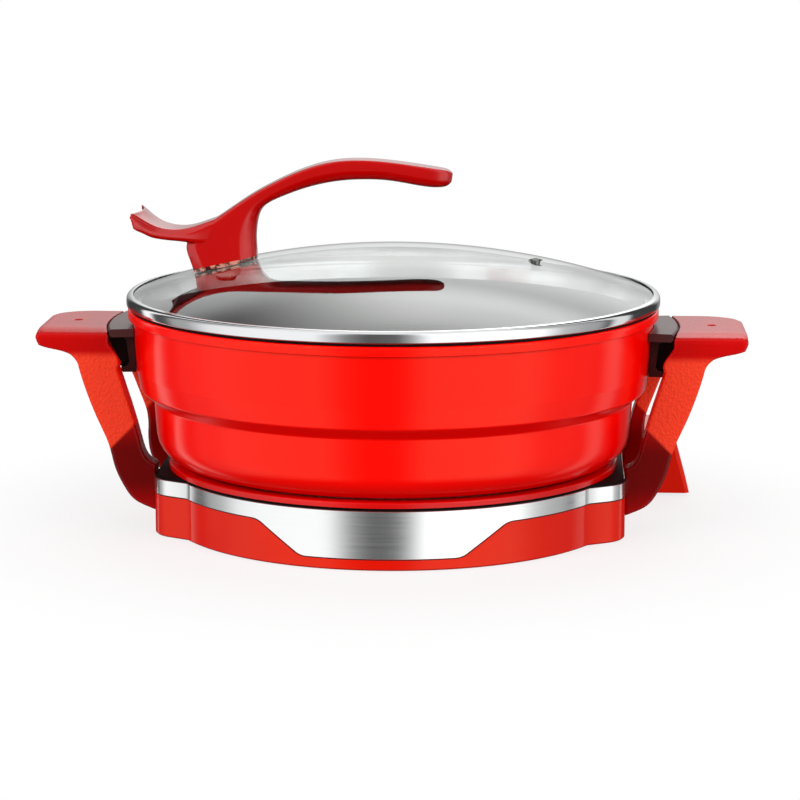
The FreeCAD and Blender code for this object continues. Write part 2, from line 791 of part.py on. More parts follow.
def box_cover():
    low = box_bottom + 0.4
    plate = box_form(box_wall + joint_gap, low, low + cover_thick)
    x, y, _ = polar(base_radius + 22.0, box_angles()[1])
    return plate.cut(cylinder(2.0, low - 1, low + cover_thick + 1, x, y))


def box_screws():
    low, _, high = box_angles()
    screw = pan_head_screw(box_screw_length)
    height = (box_bottom + box_top) / 2
    seat = base_radius - skirt_wall - 0.1
    return Part.makeCompound(
        [placed(screw, polar(seat, angle, height), polar(1.0, angle)) for angle in (low, high)])


def thermostat_switch():
    """The rotary thermostat behind the dial: its bush passes the box's rear wall."""
    inside = box_rear - box_wall - joint_gap
    centre = V(knob_x, inside - switch_size.y / 2, knob_z)
    body = centred_block(switch_size, centre)
    bush = Part.makeCylinder(bush_radius, box_wall + joint_gap, V(knob_x, inside, knob_z), V(0, 1, 0))
    bore = Part.makeCylinder(shaft_radius + shaft_fit, shaft_depth + box_wall * 3,
                             V(knob_x, inside - shaft_depth - 1.0, knob_z), V(0, 1, 0))
    return body.fuse(bush).cut(bore)


def knob_shaft():
    start = box_rear - box_wall - joint_gap - shaft_depth
    end = box_rear + seat_gap + knob_thick - 3.0
    shaft = Part.makeCylinder(shaft_radius, end - start, V(knob_x, start, knob_z), V(0, 1, 0))
    flat = block(V(knob_x - 4, box_rear + seat_gap + 2.0, knob_z + shaft_radius - 0.8),
                 V(knob_x + 4, end + 1, knob_z + shaft_radius + 1))
    return shaft.cut(flat)


def thermostat_knob():
    grip = knob_radius - 2.0
    body = turned(section([
        (0, 0), (knob_radius, 0), (knob_radius - 0.8, knob_skirt), (grip, knob_skirt + 0.4),
        (grip - 1.0, knob_thick - 1.2), (grip - 2.2, knob_thick), (0, knob_thick),
    ]))
    groove = block(V(-1, -1, knob_skirt + 0.6), V(1, 1, knob_thick + 1))
    groove.rotate(V(0, 0, 0), V(0, 0, 1), 45)
    groove.translate(V(grip + 0.4, 0, 0))
    body = body.cut(Part.makeCompound(around(groove, knob_ribs)))
    body = body.cut(cylinder(shaft_radius + 0.02, -1, knob_thick - 3.0))
    return placed(body, V(knob_x, box_rear + seat_gap, knob_z), V(0, 1, 0))


def indicator_lens():
    lens = turned(section([
        (0, -box_wall), (lens_radius, -box_wall), (lens_radius, 0.4), (lens_radius - 0.7, 1.0),
        (0, 1.2)]))
    flange = cylinder(lens_radius + 1.2, -box_wall - joint_gap - 1.0, -box_wall - joint_gap)
    stem = cylinder(lens_radius, -box_wall - joint_gap, -box_wall)
    return placed(lens.multiFuse([flange, stem]), V(inlet_x, box_rear, lens_z), V(0, 1, 0))


def power_inlet():
    rear = box_rear
    flange = block(
        V(inlet_x - inlet_flange.x / 2, rear, inlet_z - inlet_flange.z / 2),
        V(inlet_x + inlet_flange.x / 2, rear + inlet_flange.y, inlet_z + inlet_flange.z / 2))
    frame = [edge for edge in flange.Edges if abs(edge.tangentAt(edge.FirstParameter).y) > 0.9]
    flange = flange.makeFillet(inlet_corner, frame)
    body = block(
        V(inlet_x - inlet_body.x / 2, rear - inlet_body.y, inlet_z - inlet_body.z / 2),
        V(inlet_x + inlet_body.x / 2, rear + 0.5, inlet_z + inlet_body.z / 2))
    mouth = block(
        V(inlet_x - inlet_mouth.x / 2, rear + inlet_flange.y - inlet_mouth.y,
          inlet_z - inlet_mouth.z / 2),
        V(inlet_x + inlet_mouth.x / 2, rear + inlet_flange.y + 1, inlet_z + inlet_mouth.z / 2))
    shoulders = [edge for edge in mouth.Edges
                 if abs(edge.tangentAt(edge.FirstParameter).y) > 0.9
                 and edge.CenterOfMass.z > inlet_z]
    mouth = mouth.makeChamfer(inlet_shoulder, shoulders)
    body = flange.fuse(body).cut(mouth)
    for blade in blade_solids(0.02):
        body = body.cut(blade)
    return body


def blade_solids(grow):
    start = box_rear + inlet_flange.y - inlet_mouth.y - blade_root
    size = blade_size + V(grow, 0, grow) * 2
    places = [(-blade_spacing, -blade_rise), (0.0, blade_rise), (blade_spacing, -blade_rise)]
    return [block(V(inlet_x + x - size.x / 2, start, inlet_z + z - size.z / 2),
                  V(inlet_x + x + size.x / 2, start + blade_root + blade_size.y,
                    inlet_z + z + size.z / 2))
            for x, z in places]


def inlet_blades():
    blades = []
    for blade in blade_solids(0.0):
        tip = max(edge.CenterOfMass.y for edge in blade.Edges)
        nose = [edge for edge in blade.Edges if abs(edge.CenterOfMass.y - tip) < 1e-6]
        blades.append(blade.makeChamfer(0.6, nose))
    return Part.makeCompound(blades)


# ---- pot -------------------------------------------------------------------------------
def pot_wall_radius(height):
    """Outer radius of the tapered wall above the step."""
    share = (height - pot_shoulder) / (pot_lip_low - pot_shoulder)
    return pot_shoulder_radius + share * (pot_neck_radius - pot_shoulder_radius)


def pot_side(inset, top):
    """The pot's side from the axis at its bottom to a height, drawn in by the wall."""
    heel = pot_low_radius - pot_corner
    corner_z = pot_bottom + pot_corner
    crease = V(pot_waist_radius - inset, 0, pot_waist)
    shoulder = V(pot_shoulder_radius - inset, 0, pot_shoulder)
    chord = shoulder - crease
    swell = V(chord.z, 0, -chord.x).normalize()
    step = []
    for share in (0.0, 0.25, 0.5, 0.75, 1.0):
        point = crease + chord * share + swell * pot_step_bulge * 4 * share * (1 - share)
        step.append((point.x, point.z))
    corner = bend((heel, corner_z), pot_corner - inset, -90, 0, 5)
    return [(0, pot_bottom + inset)] + corner + step + [(pot_wall_radius(top) - inset, top)]


def pot_body():
    """One deep casting: round heel, stepped side and a rolled lip."""
    inner = pot_side(pot_wall, pot_top)
    outer = pot_side(0.0, pot_lip_low - 1.0)
    lip = [
        (pot_lip_radius - 0.4, pot_lip_low), (pot_lip_radius, pot_lip_low + 1.0),
        (pot_lip_radius, pot_top - 1.2), (pot_lip_radius - 1.0, pot_top),
    ]
    body = turned(section(outer + lip + inner[::-1]))
    for hole in ear_screw_holes(screw_shank + screw_clear, -ear_screw_grip - 0.2, 1.0):
        body = body.cut(hole)
    return body


def pot_disc():
    return turned(section([
        (0, disc_low), (disc_radius - 0.6, disc_low), (disc_radius, disc_low + 0.4),
        (disc_radius, pot_bottom), (0, pot_bottom)]))


def bearing(y, radius):
    """The angle at which a circle about the pot's axis passes a depth."""
    return degrees(asin(y / radius))


def swept(face, start, end):
    solid = turned(face, end - start)
    solid.rotate(V(0, 0, 0), V(0, 0, 1), start)
    return solid


def ear():
    """A moulded ear: a flange level with the yoke, and a bracket that hooks under it."""
    def hug(height):
        return pot_wall_radius(height) + joint_gap

    flange_low = ear_top - ear_flange
    flange = swept(section([
        (hug(flange_low), flange_low), (ear_reach - 1.2, flange_low), (ear_reach, flange_low + 1.2),
        (ear_reach, ear_top - 0.8), (ear_reach - 0.8, ear_top), (hug(ear_top), ear_top)]),
        bearing(yoke_front + ear_end_gap, ear_reach), bearing(yoke_back - ear_end_gap, ear_reach))
    foot_top = ear_foot + ear_foot_thick
    back_low = hug(pot_shoulder) + ear_wall
    back_high = hug(flange_low) + ear_wall
    foot = [(hug(pot_shoulder), pot_shoulder), (hug(pot_shoulder), ear_foot),
            (ear_foot_reach - 1.0, ear_foot), (ear_foot_reach, ear_foot + 1.0),
            (ear_foot_reach, foot_top)]
    bracket = swept(section(foot + [
        (back_low + 1.5, foot_top + 0.6), (back_low, foot_top + 2.5),
        (back_high, flange_low - 4.0), (back_high + 4.0, flange_low + 0.5),
        (hug(flange_low + 0.5), flange_low + 0.5)]),
        bearing(yoke_front + yoke_leg_depth + ear_leg_gap, ear_foot_reach),
        bearing(yoke_back - yoke_leg_depth - ear_leg_gap, ear_foot_reach))
    rear = yoke_back - yoke_leg_depth - ear_leg_gap
    cap = swept(section([
        (back_low - 1.0, foot_top - 0.5), (ear_foot_reach - 1.0, foot_top - 0.5),
        (ear_reach - 2.5, flange_low + 0.5), (back_high - 1.0, flange_low + 0.5)]),
        bearing(rear - ear_cap, ear_foot_reach), bearing(rear, ear_foot_reach))
    body = flange.multiFuse([bracket, cap]).removeSplitter()
    for hole in ear_screw_holes(screw_shank + screw_clear, -1.0, ear_foot_jut * 2):
        body = body.cut(hole)
    for seat in ear_screw_holes(screw_head + screw_clear, ear_wall + joint_gap, ear_foot_jut * 2):
        body = body.cut(seat)
    return body


def ear_screw_holes(radius, start, end):
    """Radial bores on the ears' screws, between two depths measured from the pot's wall."""
    wall = pot_wall_radius(ear_screw_height)
    holes = []
    for angle in (-ear_screw_angle, ear_screw_angle):
        hole = Part.makeCylinder(radius, end - start,
                                 polar(wall + start, angle, ear_screw_height), polar(1.0, angle))
        holes += [hole, mirrored(hole)]
    return holes


def ear_screws():
    seat = ear_wall + joint_gap + 0.2
    screw = pan_head_screw(seat + ear_screw_grip)
    screws = []
    for angle in (-ear_screw_angle, ear_screw_angle):
        reach = pot_wall_radius(ear_screw_height) + seat
        right = placed(screw, polar(reach, angle, ear_screw_height), polar(-1.0, angle))
        screws += [right, mirrored(right)]
    return Part.makeCompound(screws)


# ---- lid -------------------------------------------------------------------------------
def dome_height(radius, sink=0.0):
    return dome_centre + sqrt((dome_radius - sink) ** 2 - radius ** 2)


def dome_points(sink):
    """The dome's section from its edge up to the apex, which a revolve turns into cones."""
    steps = dome_bands
    edge = glass_edge - glass_land
    radii = [edge * (steps - step) / steps for step in range(steps + 1)]
    return [(radius, dome_height(radius, sink)) for radius in radii]


def under_dome(sink):
    """All that lies below the glass's outer face, raised by a gap."""
    points = dome_points(-sink)
    return turned(section([(0, rim_skirt_bottom), (points[0][0], rim_skirt_bottom)] + points))


def lid_glass():
    inner = dome_points(glass_thick)
    outer = dome_points(0.0)
    middle = (inner[0][1] + outer[0][1]) / 2
    body = turned(section(inner[::-1] + [(glass_edge, middle)] + outer))
    body = body.cut(cylinder(handle_screw_shank + 0.5, rim_bottom, dome_apex + 1, handle_foot_x))
    return body.cut(cylinder(vent_tube + 0.2, rim_bottom, dome_apex + 1, vent_place))


def lid_rim():
    """A rolled steel rim: hooks over the glass, bulges outside and drops into the pot."""
    bead = rim_height / 2
    outer = rim_radius - bead
    lip = rim_radius - rim_lip
    wall = rim_skirt_radius - rim_sheet
    roll = bend((outer, rim_bottom + bead), bead, -90, 90, 4)
    hollow = bend((outer, rim_bottom + bead), bead - rim_sheet, 90, -90, 2)
    return turned(section(
        [(rim_skirt_radius, rim_skirt_bottom), (rim_skirt_radius, rim_bottom)] + roll
        + [(lip, rim_top), (lip, rim_top - rim_sheet)] + hollow
        + [(wall, rim_bottom + rim_sheet), (wall, rim_skirt_bottom)]))


def lid_seal():
    low = pot_top + seat_gap
    return turned(section([
        (seal_inner, low), (seal_outer, low), (seal_outer, rim_bottom), (seal_inner, rim_bottom)]))


def steam_vent():
    top = dome_height(vent_place)
    low = dome_height(vent_place, glass_thick)
    eyelet = turned(section([
        (vent_bore, low - 1.6), (vent_flange - 0.4, low - 1.6), (vent_flange - 0.4, low - 1.0),
        (vent_tube, low - 1.0), (vent_tube, top + 1.0), (vent_flange, top + 1.0),
        (vent_flange - 1.2, top + 1.8), (vent_bore, top + 1.8)]))
    eyelet.translate(V(vent_place, 0, 0))
    return eyelet


# ---- lid handle ------------------------------------------------------------------------
def handle_ring(upper, lower, half_width):
    """One section of the handle: an oblong with cut corners across a line in the side view."""
    top, low = V(upper[0], 0, upper[1]), V(lower[0], 0, lower[1])
    middle, half = (top + low) * 0.5, (top - low) * 0.5
    side = V(0, half_width, 0)
    cut = 0.58
    corners = [(-cut, 1), (cut, 1), (1, cut), (1, -cut), (cut, -1), (-cut, -1), (-1, -cut), (-1, cut)]
    points = [middle + side * across + half * along for across, along in corners]
    return Part.makePolygon(points + points[:1])


def handle_arm():
    """Foot, neck and arm, lofted through sections placed by shares of the reach and rise."""
    def place(out, up):
        return handle_foot_x + out * handle_reach, handle_foot_z + up * handle_rise

    stations = [
        ((-0.127, -0.177), (0.148, -0.109), 1.30), ((-0.132, -0.007), (0.143, 0.112), 1.29),
        ((-0.141, 0.121), (0.137, 0.248), 1.27), ((-0.126, 0.265), (0.141, 0.358), 1.25),
        ((-0.075, 0.389), (0.148, 0.443), 1.22), ((-0.003, 0.492), (0.159, 0.513), 1.19),
        ((0.065, 0.591), (0.179, 0.570), 1.16), ((0.136, 0.688), (0.215, 0.620), 1.13),
        ((0.239, 0.801), (0.294, 0.693), 1.10), ((0.339, 0.896), (0.370, 0.750), 1.07),
        ((0.428, 0.958), (0.448, 0.791), 1.05), ((0.516, 0.992), (0.527, 0.818), 1.03),
        ((0.604, 1.000), (0.606, 0.825), 1.01), ((0.692, 0.992), (0.689, 0.825), 1.00),
        ((0.780, 0.961), (0.768, 0.808), 1.00), ((0.867, 0.924), (0.856, 0.772), 1.00),
        ((0.946, 0.890), (0.932, 0.756), 0.95), ((0.981, 0.873), (0.973, 0.778), 0.74),
        ((1.000, 0.856), (0.998, 0.822), 0.34),
    ]
    rings = [handle_ring(place(*upper), place(*lower), width * arm_half_width)
             for upper, lower, width in stations]
    return Part.makeLoft(rings, True, False)


def handle_tail():
    """The fish tail behind the neck, widening to a forked end."""
    def place(back, up):
        return handle_foot_x - back * tail_reach, handle_foot_z + up * handle_rise

    stations = [
        ((-0.012, 0.477), (0.028, 0.205), 0.45), ((0.185, 0.418), (0.185, 0.180), 0.48),
        ((0.312, 0.384), (0.312, 0.214), 0.50), ((0.440, 0.363), (0.450, 0.248), 0.55),
        ((0.582, 0.367), (0.597, 0.265), 0.63), ((0.695, 0.390), (0.707, 0.282), 0.71),
        ((0.798, 0.424), (0.806, 0.302), 0.80), ((0.902, 0.475), (0.888, 0.346), 0.91),
        ((1.000, 0.533), (0.949, 0.382), 1.00),
    ]
    rings = [handle_ring(place(*upper), place(*lower), width * tail_half_width)
             for upper, lower, width in stations]
    tail = Part.makeLoft(rings, True, False)
    end = handle_foot_x - tail_reach
    return tail.cut(cylinder(fork_radius, rim_top, dome_apex * 2, end + fork_depth - fork_radius))


def lid_handle():
    body = handle_arm().fuse(handle_tail())
    body = body.cut(under_dome(handle_gasket))
    insert = cylinder(
        handle_screw_shank + 0.1, rim_bottom, handle_foot_z + handle_insert_depth, handle_foot_x)
    return body.cut(insert)


def screw_seat():
    """Height of the screw's head under the glass, where the sloping pad is thinnest."""
    return dome_height(-handle_foot_x + handle_pad_radius, glass_thick) - handle_pad_thin


def handle_pads():
    """Silicone pads above and below the glass, trimmed to the dome and flat at the screw."""
    hole = cylinder(handle_screw_shank + 0.3, rim_bottom, dome_apex + 10, handle_foot_x)
    above = cylinder(arm_half_width, rim_bottom, dome_apex + 10, handle_foot_x)
    above = above.common(under_dome(handle_gasket)).cut(under_dome(0.0)).cut(hole)
    below = cylinder(handle_pad_radius, screw_seat(), dome_apex, handle_foot_x)
    below = below.common(under_dome(-glass_thick)).cut(hole)
    return Part.makeCompound([above, below])


def handle_screw():
    seat = screw_seat()
    tip = handle_foot_z + handle_insert_depth - 1.0
    body = turned(section([
        (0, seat - handle_screw_thick), (handle_screw_head - 1.2, seat - handle_screw_thick),
        (handle_screw_head, seat - 1.2),
        (handle_screw_head, seat), (handle_screw_shank, seat), (handle_screw_shank, tip), (0, tip)]))
    body.translate(V(handle_foot_x, 0, 0))
    return body


def build():
    os.makedirs("parts", exist_ok=True)
    save("base_housing", base_housing())
    save("fascia_band", fascia())
    save("top_deck", top_deck())
    save("support_ring", support_ring())
    save("heating_plate", heating_plate())
    save("heating_element", heating_element())
    save("reflector_pan", reflector_pan())
    save("sensor_guide", sensor_guide())
    save("sensor_button", sensor_button())
    save("sensor_spring", sensor_spring())
    save("thermal_fuse", thermal_fuse())
    save("terminal_block", terminal_block())
    save("bottom_cover", bottom_cover())
    save("cover_screws", cover_screws())
    save("rubber_feet", rubber_feet())
    right_yoke = yoke()
    save("right_yoke", right_yoke)
    save("left_yoke", mirrored(right_yoke))
    save("yoke_screws", yoke_screws())
    save("control_box", control_box())
    save("box_cover", box_cover())
    save("box_screws", box_screws())
    save("thermostat_switch", thermostat_switch())
    save("knob_shaft", knob_shaft())
    save("thermostat_knob", thermostat_knob())
    save("indicator_lens", indicator_lens())
    save("power_inlet", power_inlet())
    save("inlet_blades", inlet_blades())
    save("pot_body", pot_body())
    save("pot_disc", pot_disc())
    right_ear = ear()
    save("right_ear", right_ear)
    save("left_ear", mirrored(right_ear))
    save("ear_screws", ear_screws())
    save("lid_glass", lid_glass())
    save("lid_rim", lid_rim())
    save("lid_seal", lid_seal())
    save("steam_vent", steam_vent())
    save("lid_handle", lid_handle())
    save("handle_pads", handle_pads())
    save("handle_screw", handle_screw())


build()
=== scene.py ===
import json
from math import copysign, cos, pi, radians, sin, sqrt, tan, tau
import bmesh
import bpy
from mathutils import Matrix, Vector


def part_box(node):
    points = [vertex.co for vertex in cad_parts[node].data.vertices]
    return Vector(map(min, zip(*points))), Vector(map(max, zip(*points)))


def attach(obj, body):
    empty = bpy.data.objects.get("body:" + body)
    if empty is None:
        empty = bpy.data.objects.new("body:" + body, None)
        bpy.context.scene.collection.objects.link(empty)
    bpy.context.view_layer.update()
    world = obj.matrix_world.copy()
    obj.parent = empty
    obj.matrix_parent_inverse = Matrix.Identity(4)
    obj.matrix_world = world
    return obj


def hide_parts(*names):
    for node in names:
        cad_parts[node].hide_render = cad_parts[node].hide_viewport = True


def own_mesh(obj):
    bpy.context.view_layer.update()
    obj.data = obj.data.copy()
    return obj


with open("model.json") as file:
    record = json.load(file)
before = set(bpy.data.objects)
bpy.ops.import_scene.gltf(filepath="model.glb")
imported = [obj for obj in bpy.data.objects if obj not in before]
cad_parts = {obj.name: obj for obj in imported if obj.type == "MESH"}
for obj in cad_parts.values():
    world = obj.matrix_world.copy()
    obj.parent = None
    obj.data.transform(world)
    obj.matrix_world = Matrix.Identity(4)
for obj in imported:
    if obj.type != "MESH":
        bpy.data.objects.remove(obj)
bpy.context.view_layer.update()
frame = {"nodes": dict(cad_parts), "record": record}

# The studio. A camera a little above the pot, a white table and a white room whose walls
# carry two broad soft boxes at the front, so that round pieces show wide upright streaks.
scene = bpy.context.scene
scene.view_settings.view_transform = "Standard"
MM = 0.001


class Wire:
    """A socket in a shader. Arithmetic on it adds Math nodes, and add() any other node."""

    def __init__(self, socket):
        self.socket, self.tree = socket, socket.id_data

    def add(self, kind, settings=None, inputs=None, out=0):
        """Adds a node: its settings first, then the values or links of its sockets."""
        node = self.tree.nodes.new("ShaderNode" + kind)
        for name, value in (settings or {}).items():
            if name == "stops":
                for place, _ in value[1:-1]:
                    node.color_ramp.elements.new(place)
                for element, (place, colour) in zip(node.color_ramp.elements, value):
                    element.position, element.color = place, colour
            else:
                setattr(node, name, value)
        for name, value in (inputs or {}).items():
            if isinstance(value, Wire):
                self.tree.links.new(value.socket, node.inputs[name])
            else:
                node.inputs[name].default_value = value
        return Wire(node.outputs[out])

    def maths(self, operation, *others):
        return self.add("Math", {"operation": operation}, dict(enumerate((self,) + others)))

    def __add__(self, other):
        return self.maths("ADD", other)

    def __mul__(self, other):
        return self.maths("MULTIPLY", other)

    def __sub__(self, other):
        return self.maths("SUBTRACT", other)

    def __rsub__(self, other):
        return self.maths("MULTIPLY", -1.0).maths("ADD", other)

    def __pow__(self, other):
        return self.maths("POWER", other)

    __radd__, __rmul__ = __add__, __mul__

    def step(self, start, end, low=0.0, high=1.0):
        """Goes smoothly from low to high while this goes from start to end."""
        return self.add("MapRange", {"interpolation_type": "SMOOTHSTEP"},
                        {0: self, 1: start, 2: end, 3: low, 4: high})

    def tint(self, none, full):
        """A colour between two, by this as the share of the second."""
        return self.add("Mix", {"data_type": "RGBA"}, {0: self, 6: none, 7: full}, out=2)

    def feed(self, node, name):
        self.tree.links.new(self.socket, node.inputs[name])


def grey(level):
    """A grey for a shader, by its level."""
    return (level, level, level, 1.0)


look_at = Vector((3.8, 0, 69)) * MM
camera_turn, camera_rise, camera_roll = radians(3.0), radians(10.5), radians(0.05)
camera_reach = 1.6
camera = bpy.data.objects.new("camera", bpy.data.cameras.new("camera"))
camera.data.lens = 126.74
camera.data.sensor_width = 36.0
back = Vector((sin(camera_turn) * cos(camera_rise), -cos(camera_turn) * cos(camera_rise),
               sin(camera_rise)))
camera.matrix_world = (Matrix.Translation(look_at + back * camera_reach)
                       @ back.to_track_quat("Z", "Y").to_matrix().to_4x4()
                       @ Matrix.Rotation(camera_roll, 4, "Z"))
scene.collection.objects.link(camera)
scene.camera = camera

scene.world = bpy.data.worlds.new("white_room")
scene.world.use_nodes = True
room = scene.world.node_tree
ray = room.nodes.new("ShaderNodeLightPath")
compass = Wire(room.nodes.new("ShaderNodeTexCoord").outputs["Generated"])
split = compass.add("SeparateXYZ", None, {0: compass})
east, north, up = (Wire(split.socket.node.outputs[axis]) for axis in "XYZ")
bearing = east.maths("ARCTAN2", north * -1.0) * (180 / pi)
# What shines in gloss. First the walls all round: each bearing, 0 behind the camera and 90 on
# its right, and how bright the wall is there.
walls = [
    (-180, 0.3), (-166, 0.3), (-156, 0.05), (-132, 0.05), (-129, 1.2), (-123, 1.2), (-119, 0.06),
    (-110, 0.1), (-104, 0.42), (-94, 0.46), (-82, 0.95), (-70, 1.05), (-30, 1.15), (-24, 0.7),
    (-17, 0.28), (-8, 0.11), (5, 0.14), (11, 0.45), (19, 1.3), (66, 1.4), (80, 0.6), (92, 0.45),
    (100, 0.42), (107, 0.08), (112, 0.9), (121, 0.9), (125, 0.05), (156, 0.05), (166, 0.3),
    (180, 0.3)]
turn = bearing * (1 / 360) + 0.5
around = turn.add("ValToRGB", {"stops": [
    ((place + 180) / 360, grey(level)) for place, level in walls]}, {0: turn})
# Then the wall behind the table with a window high up in it, the ceiling and a dark floor.
behind = bearing.maths("ABSOLUTE").step(150, 164)
rear_wall = up.step(0.1, 0.36, 0.75, 1.6) * east.step(-0.3, -0.05, 0.6, 1.0)
rear_window = east.step(-0.3, 0.02, 0.2, 3.1)
ceiling = up.step(0.78, 0.93)
floor_dark = 1 - up.step(-0.8, -0.55)
on_rear_wall = behind * up.step(-0.1, 0.06) * (1 - up.step(0.66, 0.86))
on_rear_window = behind * up.step(0.46, 0.6) * (1 - up.step(0.66, 0.82))
glimpse = ceiling.tint(around, grey(1.0))
glimpse = on_rear_wall.tint(glimpse, rear_wall)
glimpse = on_rear_window.tint(glimpse, rear_window)
glimpse = (floor_dark * (1 - behind)).tint(glimpse, grey(0.02))
shown_ray = Wire(ray.outputs["Is Camera Ray"]).maths(
    "MAXIMUM", Wire(ray.outputs["Is Transmission Ray"]))
# Matt surfaces are lit by three soft levels, and the camera itself sees plain white.
below_light, side_light, top_light = grey(0.2), grey(0.45), grey(0.28)
soft_light = up.step(-0.4, 0.2).tint(below_light, side_light)
soft_light = up.step(0.5, 0.9).tint(soft_light, top_light)
strength = Wire(ray.outputs["Is Glossy Ray"]).tint(soft_light, glimpse)
shown_ray.tint(strength, grey(1.0)).feed(room.nodes["Background"], "Color")

table_radius = 2.4
shadow_inner, shadow_outer = 0.14, 0.30
table = bmesh.new()
bmesh.ops.create_circle(table, cap_ends=True, segments=96, radius=table_radius)
table_data = bpy.data.meshes.new("table")
table.to_mesh(table_data)
table_top = bpy.data.objects.new("table", table_data)
scene.collection.objects.link(table_top)
table_top.visible_glossy = table_top.visible_diffuse = False
paper = bpy.data.materials.new("white_table")
paper.use_nodes = True
sheet = paper.node_tree
sheet.nodes.remove(sheet.nodes["Principled BSDF"])
reach = Wire(sheet.nodes.new("ShaderNodeTexCoord").outputs["Object"])
reach = reach.add("VectorMath", {"operation": "LENGTH"}, {0: reach}, out="Value")
lit = reach.add("BsdfDiffuse", None, {"Color": grey(0.86)})
plain = reach.add("Emission", None, {"Color": grey(1.0)})
past_shadow = reach.step(shadow_inner, shadow_outer, 0.75, 1.0)
cover = past_shadow.add("MixShader", None, {0: past_shadow, 1: lit, 2: plain})
cover.feed(sheet.nodes["Material Output"], "Surface")
table_data.materials.append(paper)


def soft_box(name, place, size, power):
    """An area lamp on a stand, turned to the pot and unseen in its gloss."""
    lamp = bpy.data.lights.new(name, "AREA")
    lamp.shape, lamp.size, lamp.size_y, lamp.energy = "RECTANGLE", size[0], size[1], power
    stand = bpy.data.objects.new(name, lamp)
    stand.matrix_world = (Matrix.Translation(place)
                          @ (Vector(place) - look_at).to_track_quat("Z", "Y").to_matrix().to_4x4())
    stand.visible_glossy = False
    scene.collection.objects.link(stand)


soft_box("left_box", (-1.25, -1.3, 0.68), (0.9, 1.0), 26.4)
soft_box("right_box", (1.35, -1.2, 0.66), (0.9, 1.0), 25.0)
soft_box("back_box", (0.2, 1.3, 1.3), (1.4, 1.0), 8.0)


# The housing of the base, a round red moulding with a square shoulder at each side to carry
# the yokes. Its skirt ends just above the table and the steel band is let into its front.
def seen(red, green, blue):
    """A colour as a screen shows it, 0 to 255, made linear for a shader."""
    return tuple((value / 255) ** 2.2 for value in (red, green, blue)) + (1.0,)


def finish(name, constants):
    """A material with a Principled shader: its fixed sockets set, and its object coordinates."""
    material = bpy.data.materials.new(name)
    material.use_nodes = True
    shader = material.node_tree.nodes["Principled BSDF"]
    for socket, value in constants.items():
        shader.inputs[socket].default_value = value
    place = material.node_tree.nodes.new("ShaderNodeTexCoord").outputs["Object"]
    return material, shader, Wire(place)


def grain(place, scale, detail=3.0, stretch=None):
    """Noise from 0 to 1 at a number of grains to the metre."""
    if stretch:
        place = place.add("Mapping", None, {"Vector": place, "Scale": stretch})
    return place.add("TexNoise", None, {"Vector": place, "Scale": scale, "Detail": detail})


def raised(height, depth):
    """A normal for a surface that stands up by depth metres where height is 1."""
    return height.add("Bump", None, {"Height": height, "Distance": depth, "Strength": 1.0})


def moulded(name, colour, shade, rough, pitch=900.0, depth=6e-6, specular=0.4, coat=0.0,
            gloss=(1, 1, 1, 1)):
    """Moulded plastic: a faint drift of colour, a fine grain and rubbed patches."""
    material, shader, place = finish(name, {"Specular IOR Level": specular, "Coat Weight": coat,
                                            "Coat Roughness": 0.12, "Specular Tint": gloss})
    drift = grain(place, 14.0)
    drift.step(0.3, 0.7).tint(colour, shade).feed(shader, "Base Color")
    skin = grain(place, pitch, 2.0)
    spread = 0.08
    (drift * spread + skin * spread + (rough - spread)).feed(shader, "Roughness")
    raised(skin, depth).feed(shader, "Normal")
    return material


crisp = 32


def shown(name, mesh, material, body, nodes, sharp=crisp):
    """Makes a bmesh an object that rides on a body: creases stay crisp, all else is smooth."""
    for face in mesh.faces:
        face.smooth = True
    for edge in mesh.edges:
        edge.smooth = len(edge.link_faces) == 2 and edge.calc_face_angle() < radians(sharp)
    data = bpy.data.meshes.new(name)
    mesh.to_mesh(data)
    mesh.free()
    for one in material if isinstance(material, tuple) else (material,):
        data.materials.append(one)
    part = bpy.data.objects.new(name, data)
    scene.collection.objects.link(part)
    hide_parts(*nodes)
    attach(part, body)
    return part


def solid_of(node):
    """The CAD solid's own skin, merged from its loose triangles."""
    weld, flat = 2e-6, radians(0.4)
    mesh = bmesh.new()
    mesh.from_mesh(frame["nodes"][node].data)
    bmesh.ops.remove_doubles(mesh, verts=mesh.verts, dist=weld)
    bmesh.ops.dissolve_limit(mesh, angle_limit=flat, verts=mesh.verts, edges=mesh.edges)
    return mesh


def eased(part, width, segments=2):
    """Breaks a piece's crisp edges, as a mould or a polish does."""
    soft = part.modifiers.new("eased", "BEVEL")
    soft.width, soft.segments, soft.limit_method = width, segments, "ANGLE"
    soft.angle_limit = radians(crisp)
    level = part.modifiers.new("level", "WEIGHTED_NORMAL")
    level.keep_sharp = True
    return part


warm_gloss = (1.0, 0.93, 0.55, 1)
base_red = moulded("base_red", seen(218, 25, 6), seen(210, 18, 3), 0.2, specular=0.38,
                   gloss=warm_gloss)
housing = shown("housing", solid_of("base_housing"), base_red, "base", ["base_housing"])
eased(housing, 0.5 * MM)


# The band across the front, a strip of steel bent round the housing and brushed along its
# length, deep in the middle and narrow out to the shoulders.
def brushed(name, colour, rough, along, pitch=1.0, depth=2e-6):
    """Steel brushed in one direction: long fine scratches in shine and height."""
    material, shader, place = finish(name, {"Metallic": 1.0})
    lines = grain(place, 420.0 * pitch, 4.0, along)
    cloud = grain(place, 30.0, 2.0)
    dull = tuple(channel * 0.86 for channel in colour[:3]) + (1.0,)
    (lines * 0.5 + cloud * 0.5).tint(dull, colour).feed(shader, "Base Color")
    spread = 0.16
    (lines * spread + (rough - spread / 2)).feed(shader, "Roughness")
    raised(lines, depth).feed(shader, "Normal")
    return material


